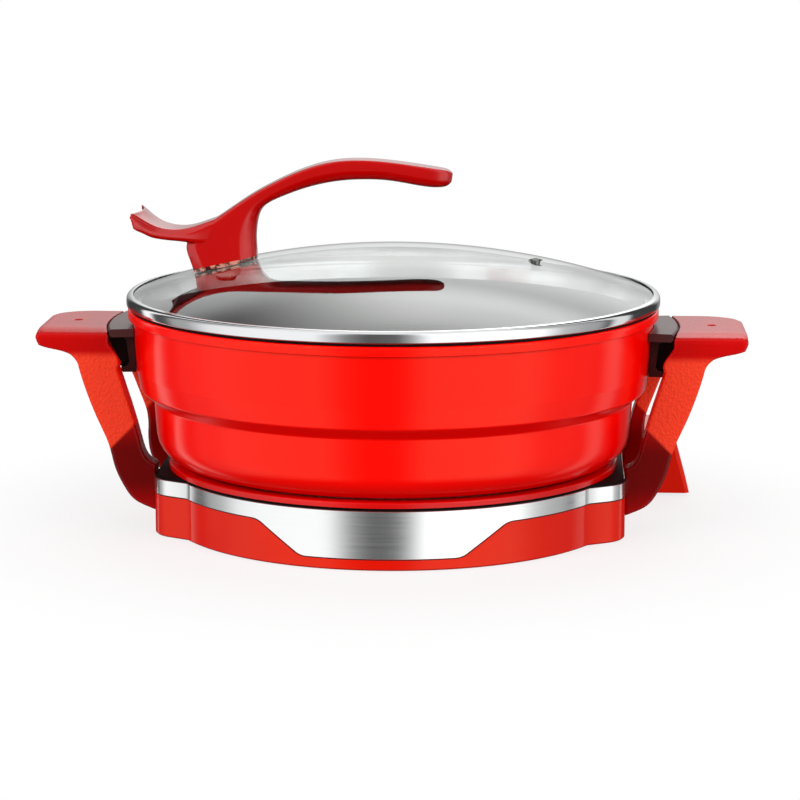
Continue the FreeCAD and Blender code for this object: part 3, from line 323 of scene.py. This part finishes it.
band_steel = brushed("band_steel", seen(250, 251, 251), 0.2, (0.05, 0.05, 2.4))
band = shown("band", solid_of("fascia_band"), band_steel, "base", ["fascia_band"])
eased(band, 0.15 * MM, segments=1)
# A black copy of the band, grown round its edges and sunk behind it, shows as a dark line round the
# band: painted shade standing in for the gap round it.
shade_line_width, shade_line_sink = 0.75, 0.8
shade_line_mesh = solid_of("fascia_band")
shade_line_mesh.normal_update()
for vert in shade_line_mesh.verts:
    vert.co += vert.normal * shade_line_width * MM
    vert.co.xy -= vert.co.xy.normalized() * shade_line_sink * MM
band_shade_black = moulded("band_shade_black", seen(34, 8, 8), seen(26, 6, 6), 0.5, 900.0, 4e-6,
                       specular=0.3)
shown("band_shade_line", shade_line_mesh, band_shade_black, "base", ())

# The deck closes the housing under the pot: a black moulding with the opening for the hot
# plate in its middle and the red ring, which centres the pot, pressed on round it.
deck_black = moulded("deck_black", seen(16, 10, 10), seen(22, 16, 16), 0.6, 1400.0, 8e-6,
                     specular=0.1)
deck = shown("deck", solid_of("top_deck"), deck_black, "base", ["top_deck"])
eased(deck, 0.6 * MM)


def outline(points, rounds=5, run=0.005):
    """A wire in the XZ plane through points (x, z, corner radius) in millimetres. A long edge is
    cut into runs, whose length is in metres."""
    mesh = bmesh.new()
    corners = [bmesh.ops.create_vert(mesh, co=(x * MM, 0, z * MM))["vert"][0] for x, z, _ in points]
    for start, end in zip(corners, corners[1:]):
        bmesh.ops.contextual_create(mesh, geom=[start, end])
    for corner, (_, _, radius) in zip(corners, points):
        if radius:
            before, after = (edge.other_vert(corner).co - corner.co for edge in corner.link_edges)
            bmesh.ops.bevel(
                mesh, geom=[corner], offset=radius * MM / tan(before.angle(after) / 2),
                offset_type="OFFSET", segments=rounds, profile=0.5, affect="VERTICES", material=-1)
    for edge in list(mesh.edges):
        if edge.calc_length() > run:
            bmesh.ops.subdivide_edges(mesh, edges=[edge], cuts=int(edge.calc_length() / run))
    return mesh


def turned(mesh, steps=224):
    """Spins an outline once round the pot's axis into a closed skin."""
    pole_weld = 1e-6
    bmesh.ops.spin(mesh, geom=mesh.verts[:] + mesh.edges[:], cent=(0, 0, 0), axis=(0, 0, 1),
                   angle=tau, steps=steps, use_merge=True)
    bmesh.ops.remove_doubles(mesh, verts=mesh.verts, dist=pole_weld)
    bmesh.ops.recalc_face_normals(mesh, faces=mesh.faces)
    return mesh


ring_low, ring_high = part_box("support_ring")
ring_outer, ring_base, ring_top = (value / MM for value in (ring_high.x, ring_low.z, ring_high.z))
ring_red = moulded("ring_red", seen(204, 10, 6), seen(190, 6, 3), 0.22)
ring_width, inner_round, outer_round = 9, 1.0, 1.1
ring_inner = ring_outer - ring_width
ring_wire = outline([
    (ring_inner, ring_base, 0), (ring_inner, ring_top, inner_round),
    (ring_outer, ring_top, outer_round), (ring_outer, ring_base, 0), (ring_inner, ring_base, 0)])
shown("seat_ring", turned(ring_wire), ring_red, "base", ["support_ring"])

# The hot plate, a grey casting that the pot stands on, with the bent element and the bright
# pan beneath it. The pot sensor, its guide and its spring stand in the middle, and the thermal
# fuse and the ceramic terminals lie below the pan.
cast_grey = moulded("cast_grey", seen(128, 128, 126), seen(112, 112, 111), 0.5, 700.0, 1.6e-5)
shown("hot_plate", solid_of("heating_plate"), cast_grey, "base", ["heating_plate"],
      sharp=24)
burnt = brushed("burnt_steel", seen(104, 96, 92), 0.4, (1, 1, 1), 0.4)
shown("element", solid_of("heating_element"), burnt, "base", ["heating_element"],
      sharp=40)
bright = brushed("bright_pan", seen(206, 208, 210), 0.22, (1, 1, 0.2), 0.5)
shown("pan", solid_of("reflector_pan"), bright, "base", ["reflector_pan"])
shown("guide", solid_of("sensor_guide"), bright, "base", ["sensor_guide"])
shown("button", solid_of("sensor_button"), bright, "sensor", ["sensor_button"])
wire_steel = brushed("spring_wire", seen(186, 186, 184), 0.3, (1, 1, 1), 0.8)
spring_low, spring_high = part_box("sensor_spring")
press = next(joint for joint in frame["record"]["behaviour"]["joints"]
             if joint["name"] == "sensor_press")
seat = press["deforming_nodes"][0]["fixed_end_z_m"]
wire, wire_sides, turns, steps_a_turn = 0.35 * MM, 10, 4, 28
coil_radius = spring_high.x - wire
coil = bmesh.new()
bmesh.ops.create_circle(coil, segments=wire_sides, radius=wire, matrix=(
    Matrix.Translation((coil_radius, 0, spring_low.z + wire)) @ Matrix.Rotation(pi / 2, 4, "X")))
climb = (spring_high.z - spring_low.z - 2 * wire) / (turns * steps_a_turn)
bmesh.ops.spin(coil, geom=coil.verts[:] + coil.edges[:], cent=(0, 0, 0), axis=(0, 0, 1),
               dvec=(0, 0, climb), angle=tau * turns, steps=turns * steps_a_turn)
open_ends = [edge for edge in coil.edges if edge.is_boundary]
bmesh.ops.holes_fill(coil, edges=open_ends, sides=wire_sides)
bmesh.ops.recalc_face_normals(coil, faces=coil.faces)
spring = shown("coil_spring", coil, wire_steel, "base", ["sensor_spring"],
               sharp=60)
height = spring_high.z - seat
(height - press["range_m"][1]) / height
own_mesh(spring)
fuse_steel = brushed("fuse_steel", seen(176, 174, 166), 0.34, (1, 0.2, 1), 0.8)
shown("fuse", solid_of("thermal_fuse"), fuse_steel, "base", ["thermal_fuse"])
ceramic = moulded("ceramic", seen(226, 222, 212), seen(212, 207, 196), 0.55, 500.0, 2e-5)
shown("terminals", solid_of("terminal_block"), ceramic, "base", ["terminal_block"])

# The underside, a black moulded plate with cooling slots, screwed up into the housing. Four
# rubber feet are pressed into it and carry the whole cooker. Its zinc-plated screws are like
# those of the yokes and the control box.
under_black = moulded("under_black", seen(30, 29, 29), seen(40, 38, 38), 0.5, 600.0, 3e-5)
eased(shown("under_plate", solid_of("bottom_cover"), under_black, "base", ["bottom_cover"]), 0.3 * MM)
rubber = moulded("foot_rubber", seen(38, 37, 36), seen(50, 48, 47), 0.7, 400.0, 4e-5,
                 specular=0.25)
shown("feet", solid_of("rubber_feet"), rubber, "base", ["rubber_feet"])
zinc = brushed("zinc_screw", seen(188, 190, 192), 0.28, (1, 1, 1), 1.2)
for node in ("cover_screws", "yoke_screws", "box_screws"):
    shown(node + "_heads", solid_of(node), zinc, "base", [node])


# The two yokes, stout mouldings screwed to the shoulders. Each has a wide front leg, a slim
# rear leg and a hand platform level with the pot's ear, and a fine leather grain.
def leathery(name, colour, shade, root_shade, etched_sheen, smooth_rough, grain_rough, pitch, depth):
    """Plastic from a mould that is etched like leather on the legs, past a slanted line at their
    roots and up to the platform, and polished elsewhere. The etched part is coloured lighter, a
    painted sheen, and the legs are coloured darker in a band low down, a painted shade."""
    material, shader, place = finish(name, {"Specular IOR Level": 0.22})
    slope_start, slope_end = 0.2018, 0.2044
    platform_start, platform_end = 0.0970, 0.1025
    root_shade_full, root_shade_end = 0.044, 0.074
    across, _, height = split_axes(place)
    past_slope = (across.maths("ABSOLUTE") + height).step(slope_start, slope_end)
    under_platform = height.step(platform_end, platform_start)
    etched = past_slope * under_platform
    drift = grain(place, 11.0)
    polished_tone_and_shade = drift.step(0.3, 0.7).tint(colour, shade)
    # Painted shade: the legs turn darker in a band low down, easing back near the foot.
    root_shade_mask = height.step(root_shade_end, root_shade_full) * height.step(0.010, 0.030, 0.45, 1.0)
    polished_tone_and_shade = root_shade_mask.tint(polished_tone_and_shade, root_shade)
    # Painted sheen: the etched grain is coloured lighter than the polished red.
    etched.tint(polished_tone_and_shade, etched_sheen).feed(shader, "Base Color")
    warp = 0.0012
    pull = place.add("TexNoise", None, {"Vector": place, "Scale": pitch * 0.7, "Detail": 2.0},
                     out="Color")
    wander = place.add("VectorMath", {"operation": "MULTIPLY_ADD"}, {
        0: pull, 1: (warp, warp, warp), 2: place})
    cells = wander.add("TexVoronoi", {"feature": "SMOOTH_F1"}, {
        "Vector": wander, "Scale": pitch, "Smoothness": 0.6})
    (etched * (grain_rough - smooth_rough) + drift * 0.06 + smooth_rough).feed(shader, "Roughness")
    fine = cells + grain(place, pitch * 2.2, 2.0) * 0.4
    raised(fine * (etched * 0.92 + 0.08), depth).feed(shader, "Normal")
    return material


def split_axes(place):
    """The three coordinates of a point on the surface."""
    axes = place.add("SeparateXYZ", None, {0: place}).socket.node.outputs
    return [Wire(axis) for axis in axes]


# The third colour is the painted shade low on the legs. The fourth is the painted sheen on the etched
# grain.
yoke_red = leathery(
    "yoke_red", seen(196, 8, 4), seen(184, 4, 2), seen(104, 1, 2), seen(240, 64, 40), 0.2, 0.4,
    600.0, 4.2e-4)


def softened(mesh, name, grid, passes, levels=0):
    """Remeshes joined skins as one, on a fine grid, and smooths the moulding's edges."""
    data = bpy.data.meshes.new(name + "_rough")
    mesh.to_mesh(data)
    mesh.free()
    rough = bpy.data.objects.new(name + "_rough", data)
    scene.collection.objects.link(rough)
    if levels:
        rounds = rough.modifiers.new("round", "SUBSURF")
        rounds.levels = rounds.render_levels = levels
    voxels = rough.modifiers.new("one skin", "REMESH")
    voxels.mode, voxels.voxel_size = "VOXEL", grid
    calm = rough.modifiers.new("calm", "SMOOTH")
    calm.factor, calm.iterations = 0.5, passes
    whole = bpy.data.meshes.new_from_object(
        rough.evaluated_get(bpy.context.evaluated_depsgraph_get()))
    bpy.data.objects.remove(rough)
    smooth = bmesh.new()
    smooth.from_mesh(whole)
    bpy.data.meshes.remove(whole)
    return smooth


front_edge, edge_round, edge_fall = -0.038, 0.016, 0.0026
platform_low, fall_start = 0.1, 0.01
yoke_grid = 0.75 * MM
for side in ("right", "left"):
    skin = softened(solid_of(side + "_yoke"), side + "_yoke", yoke_grid, passes=5)
    for vert in skin.verts:
        lean = (front_edge + edge_round - vert.co.y) / edge_round
        over = vert.co.z - platform_low
        if lean > 0 and over > 0:
            vert.co.z -= edge_fall * lean ** 2 * min(1, over / fall_start)
    shown(side + "_yoke_moulding", skin, yoke_red, "base", [side + "_yoke"],
          sharp=180)

# The control box on the base's right shoulder at the back: a red case with the thermostat's
# dial and the mains inlet on its rear wall and a lamp above them.
box_case = shown("control_case", solid_of("control_box"), base_red, "base", ["control_box"])
eased(box_case, 0.6 * MM, segments=3)
shown("case_cover", solid_of("box_cover"), under_black, "base", ["box_cover"])
dial_black = moulded("dial_black", seen(28, 26, 27), seen(38, 36, 36), 0.38, 900.0, 1e-5)
shown("thermostat", solid_of("thermostat_switch"), dial_black, "base", ["thermostat_switch"])
shown("dial_shaft", solid_of("knob_shaft"), bright, "dial", ["knob_shaft"])
eased(shown("dial", solid_of("thermostat_knob"), dial_black, "dial", ["thermostat_knob"]), 0.3 * MM)
lamp_red, lamp_shader, lamp_place = finish("lamp_red", {
    "Base Color": seen(170, 20, 16), "Specular IOR Level": 0.6, "Coat Weight": 0.6})
(grain(lamp_place, 300.0) * 0.1 + 0.12).feed(lamp_shader, "Roughness")
grain(lamp_place, 120.0).tint(seen(150, 14, 12), seen(196, 34, 22)).feed(
    lamp_shader, "Base Color")
shown("lamp", solid_of("indicator_lens"), lamp_red, "base", ["indicator_lens"])
eased(shown("mains_socket", solid_of("power_inlet"), dial_black, "base", ["power_inlet"]), 0.3 * MM)
brass = brushed("brass", seen(206, 178, 104), 0.25, (1, 0.1, 1), 0.8)
shown("mains_pins", solid_of("inlet_blades"), brass, "base", ["inlet_blades"])

# The pot, one deep aluminium casting: a round heel, a side that steps out half way up and a
# rolled lip. Red enamel outside and a dark non-stick coat inside, meeting on the lip.
pot_low, pot_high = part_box("pot_body")
pot_base, pot_top, lip = (value / MM for value in (pot_low.z, pot_high.z, pot_high.x))
lip_low, wall = pot_top - 5.4, 3.2
floor_edge, step_root, step_rim, belly, neck_in = (
    lip - inset for inset in (16.3, 13.9, 6.3, 4.5, 2.6))
step_low, step_high, belly_high = pot_base + 35.0, pot_base + 41.2, pot_base + 52
inner_step_rim, inner_step_low, inner_step_high = lip - 8.0 - wall, pot_base + 33, pot_base + 42
heel, inner_heel = 16.5, 15
outer_side = [
    (0, pot_base, 0), (floor_edge, pot_base, heel), (step_root, step_low, 2.0),
    (step_rim, step_high, 2.2), (belly, belly_high, 5), (neck_in, lip_low, 0.3),
    (lip, lip_low + 0.2, 0.5), (lip, pot_top, 1.3)]
inner_side = [
    (neck_in - wall, pot_top, 0.9), (belly - wall, belly_high, 5),
    (inner_step_rim, inner_step_high, 9), (step_root - wall, inner_step_low, 3),
    (floor_edge - wall, pot_base + wall, inner_heel), (0, pot_base + wall, 0)]
pot_mesh = turned(outline(outer_side + inner_side, rounds=6), steps=256)
lip_face, coat_edge, upright = pot_top - 0.02, lip - 2.0, 1e-9
for face in pot_mesh.faces:
    middle = face.calc_center_median()
    out_from_axis = middle.xy.length
    within = out_from_axis < neck_in * MM and middle.z > (pot_base + 1) * MM
    faces_in = middle.xy.dot(face.normal.xy) <= upright
    on_lip = middle.z > lip_face * MM and out_from_axis < coat_edge * MM
    face.material_index = int(within and faces_in or on_lip)

enamel, enamel_shader, place = finish("red_enamel", {
    "Specular IOR Level": 0.38, "Specular Tint": warm_gloss})
drift = grain(place, 9.0, 2.0)
drift.step(0.3, 0.7).tint(seen(253, 12, 0), seen(249, 7, 0)).feed(enamel_shader, "Base Color")
peel = grain(place, 420.0, 2.0)
(peel * 0.04 + drift * 0.04 + 0.15).feed(enamel_shader, "Roughness")
raised(peel, 6e-6).feed(enamel_shader, "Normal")

coat, coat_shader, place = finish("non_stick", {"Specular IOR Level": 0.14})
specks = grain(place, 1500.0, 1.0).step(0.66, 0.72)
drift = grain(place, 8.0, 2.0)
(specks * 0.5).tint(drift.tint(seen(24, 23, 22), seen(19, 18, 18)), seen(66, 64, 62)).feed(
    coat_shader, "Base Color")
(drift * 0.12 + 0.46).feed(coat_shader, "Roughness")
raised(grain(place, 1100.0, 2.0), 8e-6).feed(coat_shader, "Normal")
shown("pot_casting", pot_mesh, (enamel, coat), "pot", ["pot_body"], sharp=50)

ground = brushed("ground_steel", seen(196, 197, 198), 0.3, (1, 1, 1), 0.6)
shown("base_disc", solid_of("pot_disc"), ground, "pot", ["pot_disc"])

# The pot's ears, brown heat-proof mouldings with a flange level with the yoke and a bracket that
# hooks under it, each held to the casting by two screws. A web crosses the hollow between flange and
# bracket, coloured near black as painted shade of the hollow.
ear_brown = moulded("ear_brown", seen(82, 48, 47), seen(68, 37, 37), 0.3, 700.0, 1e-5,
                    specular=0.15)
# Painted shade: a near-black copy of the ears' brown, for the web in the hollow.
ear_shade_black = moulded("ear_shade_black", seen(24, 14, 14), seen(18, 10, 10), 0.6, 700.0, 1e-5,
                     specular=0.2)
rib_front, rib_thick = -0.020, 0.002
for side in ("right", "left"):
    eased(shown(side + "_ear_moulding", solid_of(side + "_ear"), ear_brown, "pot",
                [side + "_ear"]), 0.8 * MM, segments=3)
    ear_low, ear_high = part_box(side + "_ear")
    near, far = sorted((abs(ear_low.x), abs(ear_high.x)))
    rib_near, rib_far, rib_foot = near + 0.0012, far - 0.0008, far - 0.0110
    rib_low, rib_bend, rib_high = ear_low.z + 0.001, ear_high.z - 0.018, ear_high.z - 0.004
    out = 1 if side == "right" else -1
    rib = bmesh.new()
    corners = [(rib_near, rib_low), (rib_foot, rib_low), (rib_far, rib_bend), (rib_far, rib_high),
               (rib_near, rib_high)]
    loop = [bmesh.ops.create_vert(rib, co=(out * x, rib_front, z))["vert"][0] for x, z in corners]
    plate = bmesh.ops.contextual_create(rib, geom=loop)["faces"]
    moved = bmesh.ops.extrude_face_region(rib, geom=plate)["geom"]
    bmesh.ops.translate(rib, vec=(0, rib_thick, 0),
                        verts=[item for item in moved if isinstance(item, bmesh.types.BMVert)])
    bmesh.ops.recalc_face_normals(rib, faces=rib.faces)
    eased(shown(side + "_ear_rib", rib, ear_shade_black, "pot", ()), 0.4 * MM)
shown("ear_screws_heads", solid_of("ear_screws"), zinc, "pot", ["ear_screws"])

# The lid's glass, a shallow dome of tempered glass with a ground edge. The handle and the steam
# vent are clamped to it.
glass_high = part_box("lid_glass")[1]
glass_edge, apex = glass_high.x / MM, glass_high.z / MM
ground_edge = glass_edge - 0.8
dome_rise, glass_thick, dome_runs = 25.4, 3.0, 24
dome = (glass_edge ** 2 + dome_rise ** 2) / (2 * dome_rise)


def dome_at(radius, sink=0.0):
    """The height of the dome, or of its underside, at a distance from its middle."""
    return apex - dome + sqrt((dome - sink) ** 2 - radius ** 2)


radii = [ground_edge * run / dome_runs for run in range(dome_runs + 1)]
upper_face = [(radius, dome_at(radius), 0) for radius in radii]
under_face = [(radius, dome_at(radius, glass_thick), 0) for radius in reversed(radii)]
edge_middle = [(glass_edge, dome_at(ground_edge) - glass_thick / 2, 0)]
glass_outline = outline(upper_face + edge_middle + under_face, rounds=1, run=0.02)
glass_mesh = turned(glass_outline, steps=256)
clear, clear_shader, place = finish("clear_glass", {
    "Metallic": 1.0, "Base Color": (0.93, 0.95, 0.94, 1), "Specular IOR Level": 0.5})
smear = grain(place, 12.0)
(smear * 0.03 + 0.01).feed(clear_shader, "Roughness")
smear.tint((0.90, 0.92, 0.91, 1), (0.96, 0.97, 0.96, 1)).feed(clear_shader, "Base Color")
edge_on = place.add("LayerWeight", None, {"Blend": 0.5}, out="Facing")
one_face = edge_on ** 5 * 0.96 + 0.04
both_faces = (one_face * 2).maths("DIVIDE", one_face + 1)
outside = 1 - place.add("NewGeometry", out="Backfacing")
open_air = place.add("BsdfTransparent", None, {"Color": (0.95, 0.965, 0.955, 1)})
mirrored = both_faces.add("MixShader", None, {
    0: both_faces * outside, 1: open_air, 2: Wire(clear_shader.outputs[0])})
mirrored.feed(clear.node_tree.nodes["Material Output"], "Surface")
shown("dome", glass_mesh, clear, "lid", ["lid_glass"], sharp=30)

# The rim, a band of stainless steel rolled over the glass's edge, with the black silicone
# seal beneath it and a skirt that drops inside the pot.
rim_low, rim_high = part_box("lid_rim")
rim, rim_top, skirt_low = rim_high.x / MM, rim_high.z / MM, rim_low.z / MM
rim_base, sheet_metal = rim_top - 5.4, 0.7
skirt, skirt_lean = rim - 7.6, 1.5
skirt_foot, hem, hem_low = skirt - skirt_lean, rim - 1.5, rim_base - 1.1
roll_edge, roll_inner, roll_round = rim - 3.8, rim - 1.2, 3.0
polished, polish_shader, place = finish("polished_steel", {
    "Metallic": 1.0, "Base Color": seen(226, 227, 228)})
hair = grain(place, 260.0, 3.0, (1, 1, 4))
(hair * 0.08 + 0.07).feed(polish_shader, "Roughness")
grain(place, 18.0).tint(seen(222, 223, 224), seen(236, 237, 238)).feed(polish_shader, "Base Color")
raised(hair, 1e-6).feed(polish_shader, "Normal")
rim_wire = outline([
    (skirt_foot, skirt_low, 0), (skirt, rim_base, 0), (hem, rim_base, 0), (hem, hem_low, 0),
    (rim, hem_low, 0.9), (rim, rim_top, roll_round), (roll_edge, rim_top, 0.3),
    (roll_edge, rim_top - sheet_metal, 0.2), (roll_inner, rim_top - sheet_metal, 1.2),
    (roll_inner, rim_base + sheet_metal, 1.2), (skirt - sheet_metal, rim_base + sheet_metal, 0),
    (skirt_foot - sheet_metal, skirt_low, 0), (skirt_foot, skirt_low, 0)])
shown("rim", turned(rim_wire, steps=256), polished, "lid", ["lid_rim"], sharp=50)
silicone = moulded("seal_black", seen(14, 8, 8), seen(20, 13, 13), 0.6, 500.0, 1e-5,
                   specular=0.12)
shown("seal", solid_of("lid_seal"), silicone, "lid", ["lid_seal"])
vent_steel = brushed("vent_steel", seen(132, 132, 131), 0.25, (1, 1, 0.3), 0.8)
shown("vent", solid_of("steam_vent"), vent_steel, "lid", ["steam_vent"])


# The handle, a goose neck moulded in red plastic. It rises from the lid's left, bends over the
# middle and ends in a rounded tip, with a forked tail behind the neck. Pads keep its foot, and
# the screw that holds it from below, off the glass.
def section(mesh, below, slant, upper, lower, half_width, crown, keel):
    """A ring of eight corners about a line in the front view, in millimetres."""
    top, low = Vector((upper[0], 0, upper[1])) * MM, Vector((lower[0], 0, lower[1])) * MM
    middle, half = (top + low) / 2, (top - low) / 2
    ring = bmesh.ops.create_circle(mesh, segments=8, radius=1.0,
                                   matrix=Matrix.Rotation(pi / 8, 4, "Z"))["verts"]
    for vert in ring:
        across, along = vert.co.x, vert.co.y
        cut = (crown if along > 0 else keel) * MM
        side = half_width * MM - (cut * slant if abs(along) > abs(across) else 0)
        rise = half.length - (cut if abs(across) > abs(along) else 0)
        vert.co = middle + half.normalized() * copysign(rise, along)
        vert.co.y += copysign(side, across)
        vert[below] = int(along < 0)
    return [edge for edge in mesh.edges if edge.verts[0] in ring and edge.verts[1] in ring]


def lofted(mesh, stations, hardness, slant):
    """Bridges one section after another and closes both ends. The lines along them are crisp,
    and less so on the underside."""
    under_share = 0.35
    hard = mesh.edges.layers.float.get("crease_edge") or mesh.edges.layers.float.new("crease_edge")
    below = mesh.verts.layers.int.get("below") or mesh.verts.layers.int.new("below")
    rings = [section(mesh, below, slant, *station) for station in stations]
    for before, after in zip(rings, rings[1:]):
        for edge in bmesh.ops.bridge_loops(mesh, edges=before + after)["edges"]:
            edge[hard] = hardness * (under_share if edge.verts[0][below] else 1)
    for ring in (rings[0], rings[-1]):
        bmesh.ops.contextual_create(mesh, geom=ring)
        for edge in ring:
            edge[hard] = hardness


# Each section: its upper and lower point seen from the front, half its width, and how far its
# upper and lower corners are cut.
neck_and_arm = [
    ((-110.2, 134), (-76, 138), 11, 5.5, 7), ((-113.2, 147), (-76.6, 153), 11, 5.5, 7),
    ((-117.2, 155.5), (-77.3, 161), 10.8, 5, 6.5), ((-115, 162.5), (-76.8, 167.5), 10.6, 4, 6),
    ((-104.5, 169.3), (-76, 172.5), 10.4, 2.5, 5.5),
    ((-95, 175.6), (-74.6, 176.6), 10.1, 1.8, 5), ((-86.4, 181.6), (-72, 180), 9.9, 1.4, 4.5),
    ((-77.5, 187.5), (-67.5, 182.7), 9.6, 1.2, 4.0),
    ((-64.5, 194.4), (-57.5, 186.8), 9.3, 1.2, 4.4), ((-51.9, 200.1), (-48, 190.1), 9.1, 1.2, 4.8),
    ((-40.7, 203.8), (-38.2, 192.5), 8.9, 1.2, 5), ((-29.6, 205.8), (-28.2, 194.1), 8.8, 1.2, 5),
    ((-18.5, 206.2), (-18.2, 194.6), 8.6, 1.2, 5), ((-7.4, 205.7), (-7.8, 194.6), 8.5, 1.2, 5),
    ((3.7, 204.4), (2.2, 193.6), 8.5, 1.2, 4.6), ((14.7, 202.9), (13.2, 191.4), 8.5, 1.2, 4.6),
    ((23.0, 201.6), (21.6, 190.3), 8.3, 1.2, 4.2), ((28.6, 200.8), (27.4, 190.4), 7.7, 1.2, 3.8),
    ((31.8, 199.9), (30.6, 191.2), 6.0, 1.6, 3.2), ((33.3, 198.2), (32.6, 193.4), 3.4, 1.4, 1.8)]
tail = [
    ((-94, 174.5), (-96, 158.5), 9.9, 2, 2.2), ((-104, 171), (-104, 157), 10.8, 2.2, 2.2),
    ((-110.5, 168.6), (-110.5, 158.2), 11.8, 3.2, 2.0),
    ((-117, 167), (-117.5, 159.8), 13.4, 3.6, 1.6),
    ((-124.2, 167), (-125, 160.6), 15.6, 3.8, 1.4),
    ((-130, 168.2), (-130.6, 161.6), 17.6, 3.8, 1.4),
    ((-135.2, 170.2), (-135.6, 162.6), 19.6, 3.8, 1.6),
    ((-140.5, 173.2), (-139.8, 165.2), 21.8, 3.2, 1.8),
    ((-146.7, 177.4), (-143.9, 167.2), 24.2, 1.6, 1.8)]
handle_mesh = bmesh.new()
lofted(handle_mesh, neck_and_arm, hardness=0.7, slant=0.6)
lofted(handle_mesh, tail, hardness=0.85, slant=1.0)
bmesh.ops.recalc_face_normals(handle_mesh, faces=handle_mesh.faces)
handle_grid = 0.55 * MM
neck = softened(handle_mesh, "handle", handle_grid, passes=3, levels=2)
tail_root, tail_end, tail_half, fork_depth = -0.128, -0.1455, 0.0242, 0.005
for vert in neck.verts:
    if vert.co.x < tail_root:
        share = (tail_root - vert.co.x) / (tail_root - tail_end)
        vert.co.x += fork_depth * min(share, 1) ** 2 * (1 - min(1, (vert.co.y / tail_half) ** 2))
handle_red = moulded("handle_red", seen(182, 4, 2), seen(174, 2, 0), 0.14, 500.0, 3e-6,
                     coat=0.4)
foot_x, pad_low, pad_high = 94.5, 0.25, 2.3
foot_lean = Vector((-foot_x / dome, 0, 1)).normalized()
foot_height = dome_at(foot_x) * MM


def trimmed(mesh, above, keep_above):
    """Cuts a mesh along a plane over the glass under the foot and closes the cut."""
    cut = bmesh.ops.bisect_plane(
        mesh, geom=mesh.verts[:] + mesh.edges[:] + mesh.faces[:], clear_inner=keep_above,
        clear_outer=not keep_above, plane_no=foot_lean,
        plane_co=Vector((-foot_x * MM, 0, foot_height)) + foot_lean * above * MM)
    bmesh.ops.edgeloop_fill(
        mesh, edges=[edge for edge in cut["geom_cut"] if isinstance(edge, bmesh.types.BMEdge)])
    return mesh


gasket = trimmed(neck.copy(), pad_low, keep_above=True)
gasket = trimmed(gasket, pad_high, keep_above=False)
shown("goose_neck", trimmed(neck, pad_high, keep_above=True), handle_red, "lid",
      ["lid_handle"], sharp=60)
clear_pad, pad_shader, place = finish("clear_pad", {"Specular IOR Level": 0.7, "Coat Weight": 0.5})
# The pale patches on the dark red-brown pad are painted highlights. The same patches are rougher and
# stand up a little.
cloud_and_glint = grain(place, 210.0).step(0.46, 0.62)
cloud_and_glint.tint(seen(66, 12, 8), seen(200, 132, 114)).feed(pad_shader, "Base Color")
(cloud_and_glint * 0.2 + 0.12).feed(pad_shader, "Roughness")
raised(cloud_and_glint, 2e-5).feed(pad_shader, "Normal")
shown("foot_gasket", gasket, clear_pad, "lid", (), sharp=60)
pad = moulded("pad_silicone", seen(196, 190, 184), seen(182, 176, 170), 0.5, 500.0, 1e-5,
              specular=0.3)
shown("pads", solid_of("handle_pads"), pad, "lid", ["handle_pads"])
shown("handle_screw_head", solid_of("handle_screw"), zinc, "lid", ["handle_screw"])
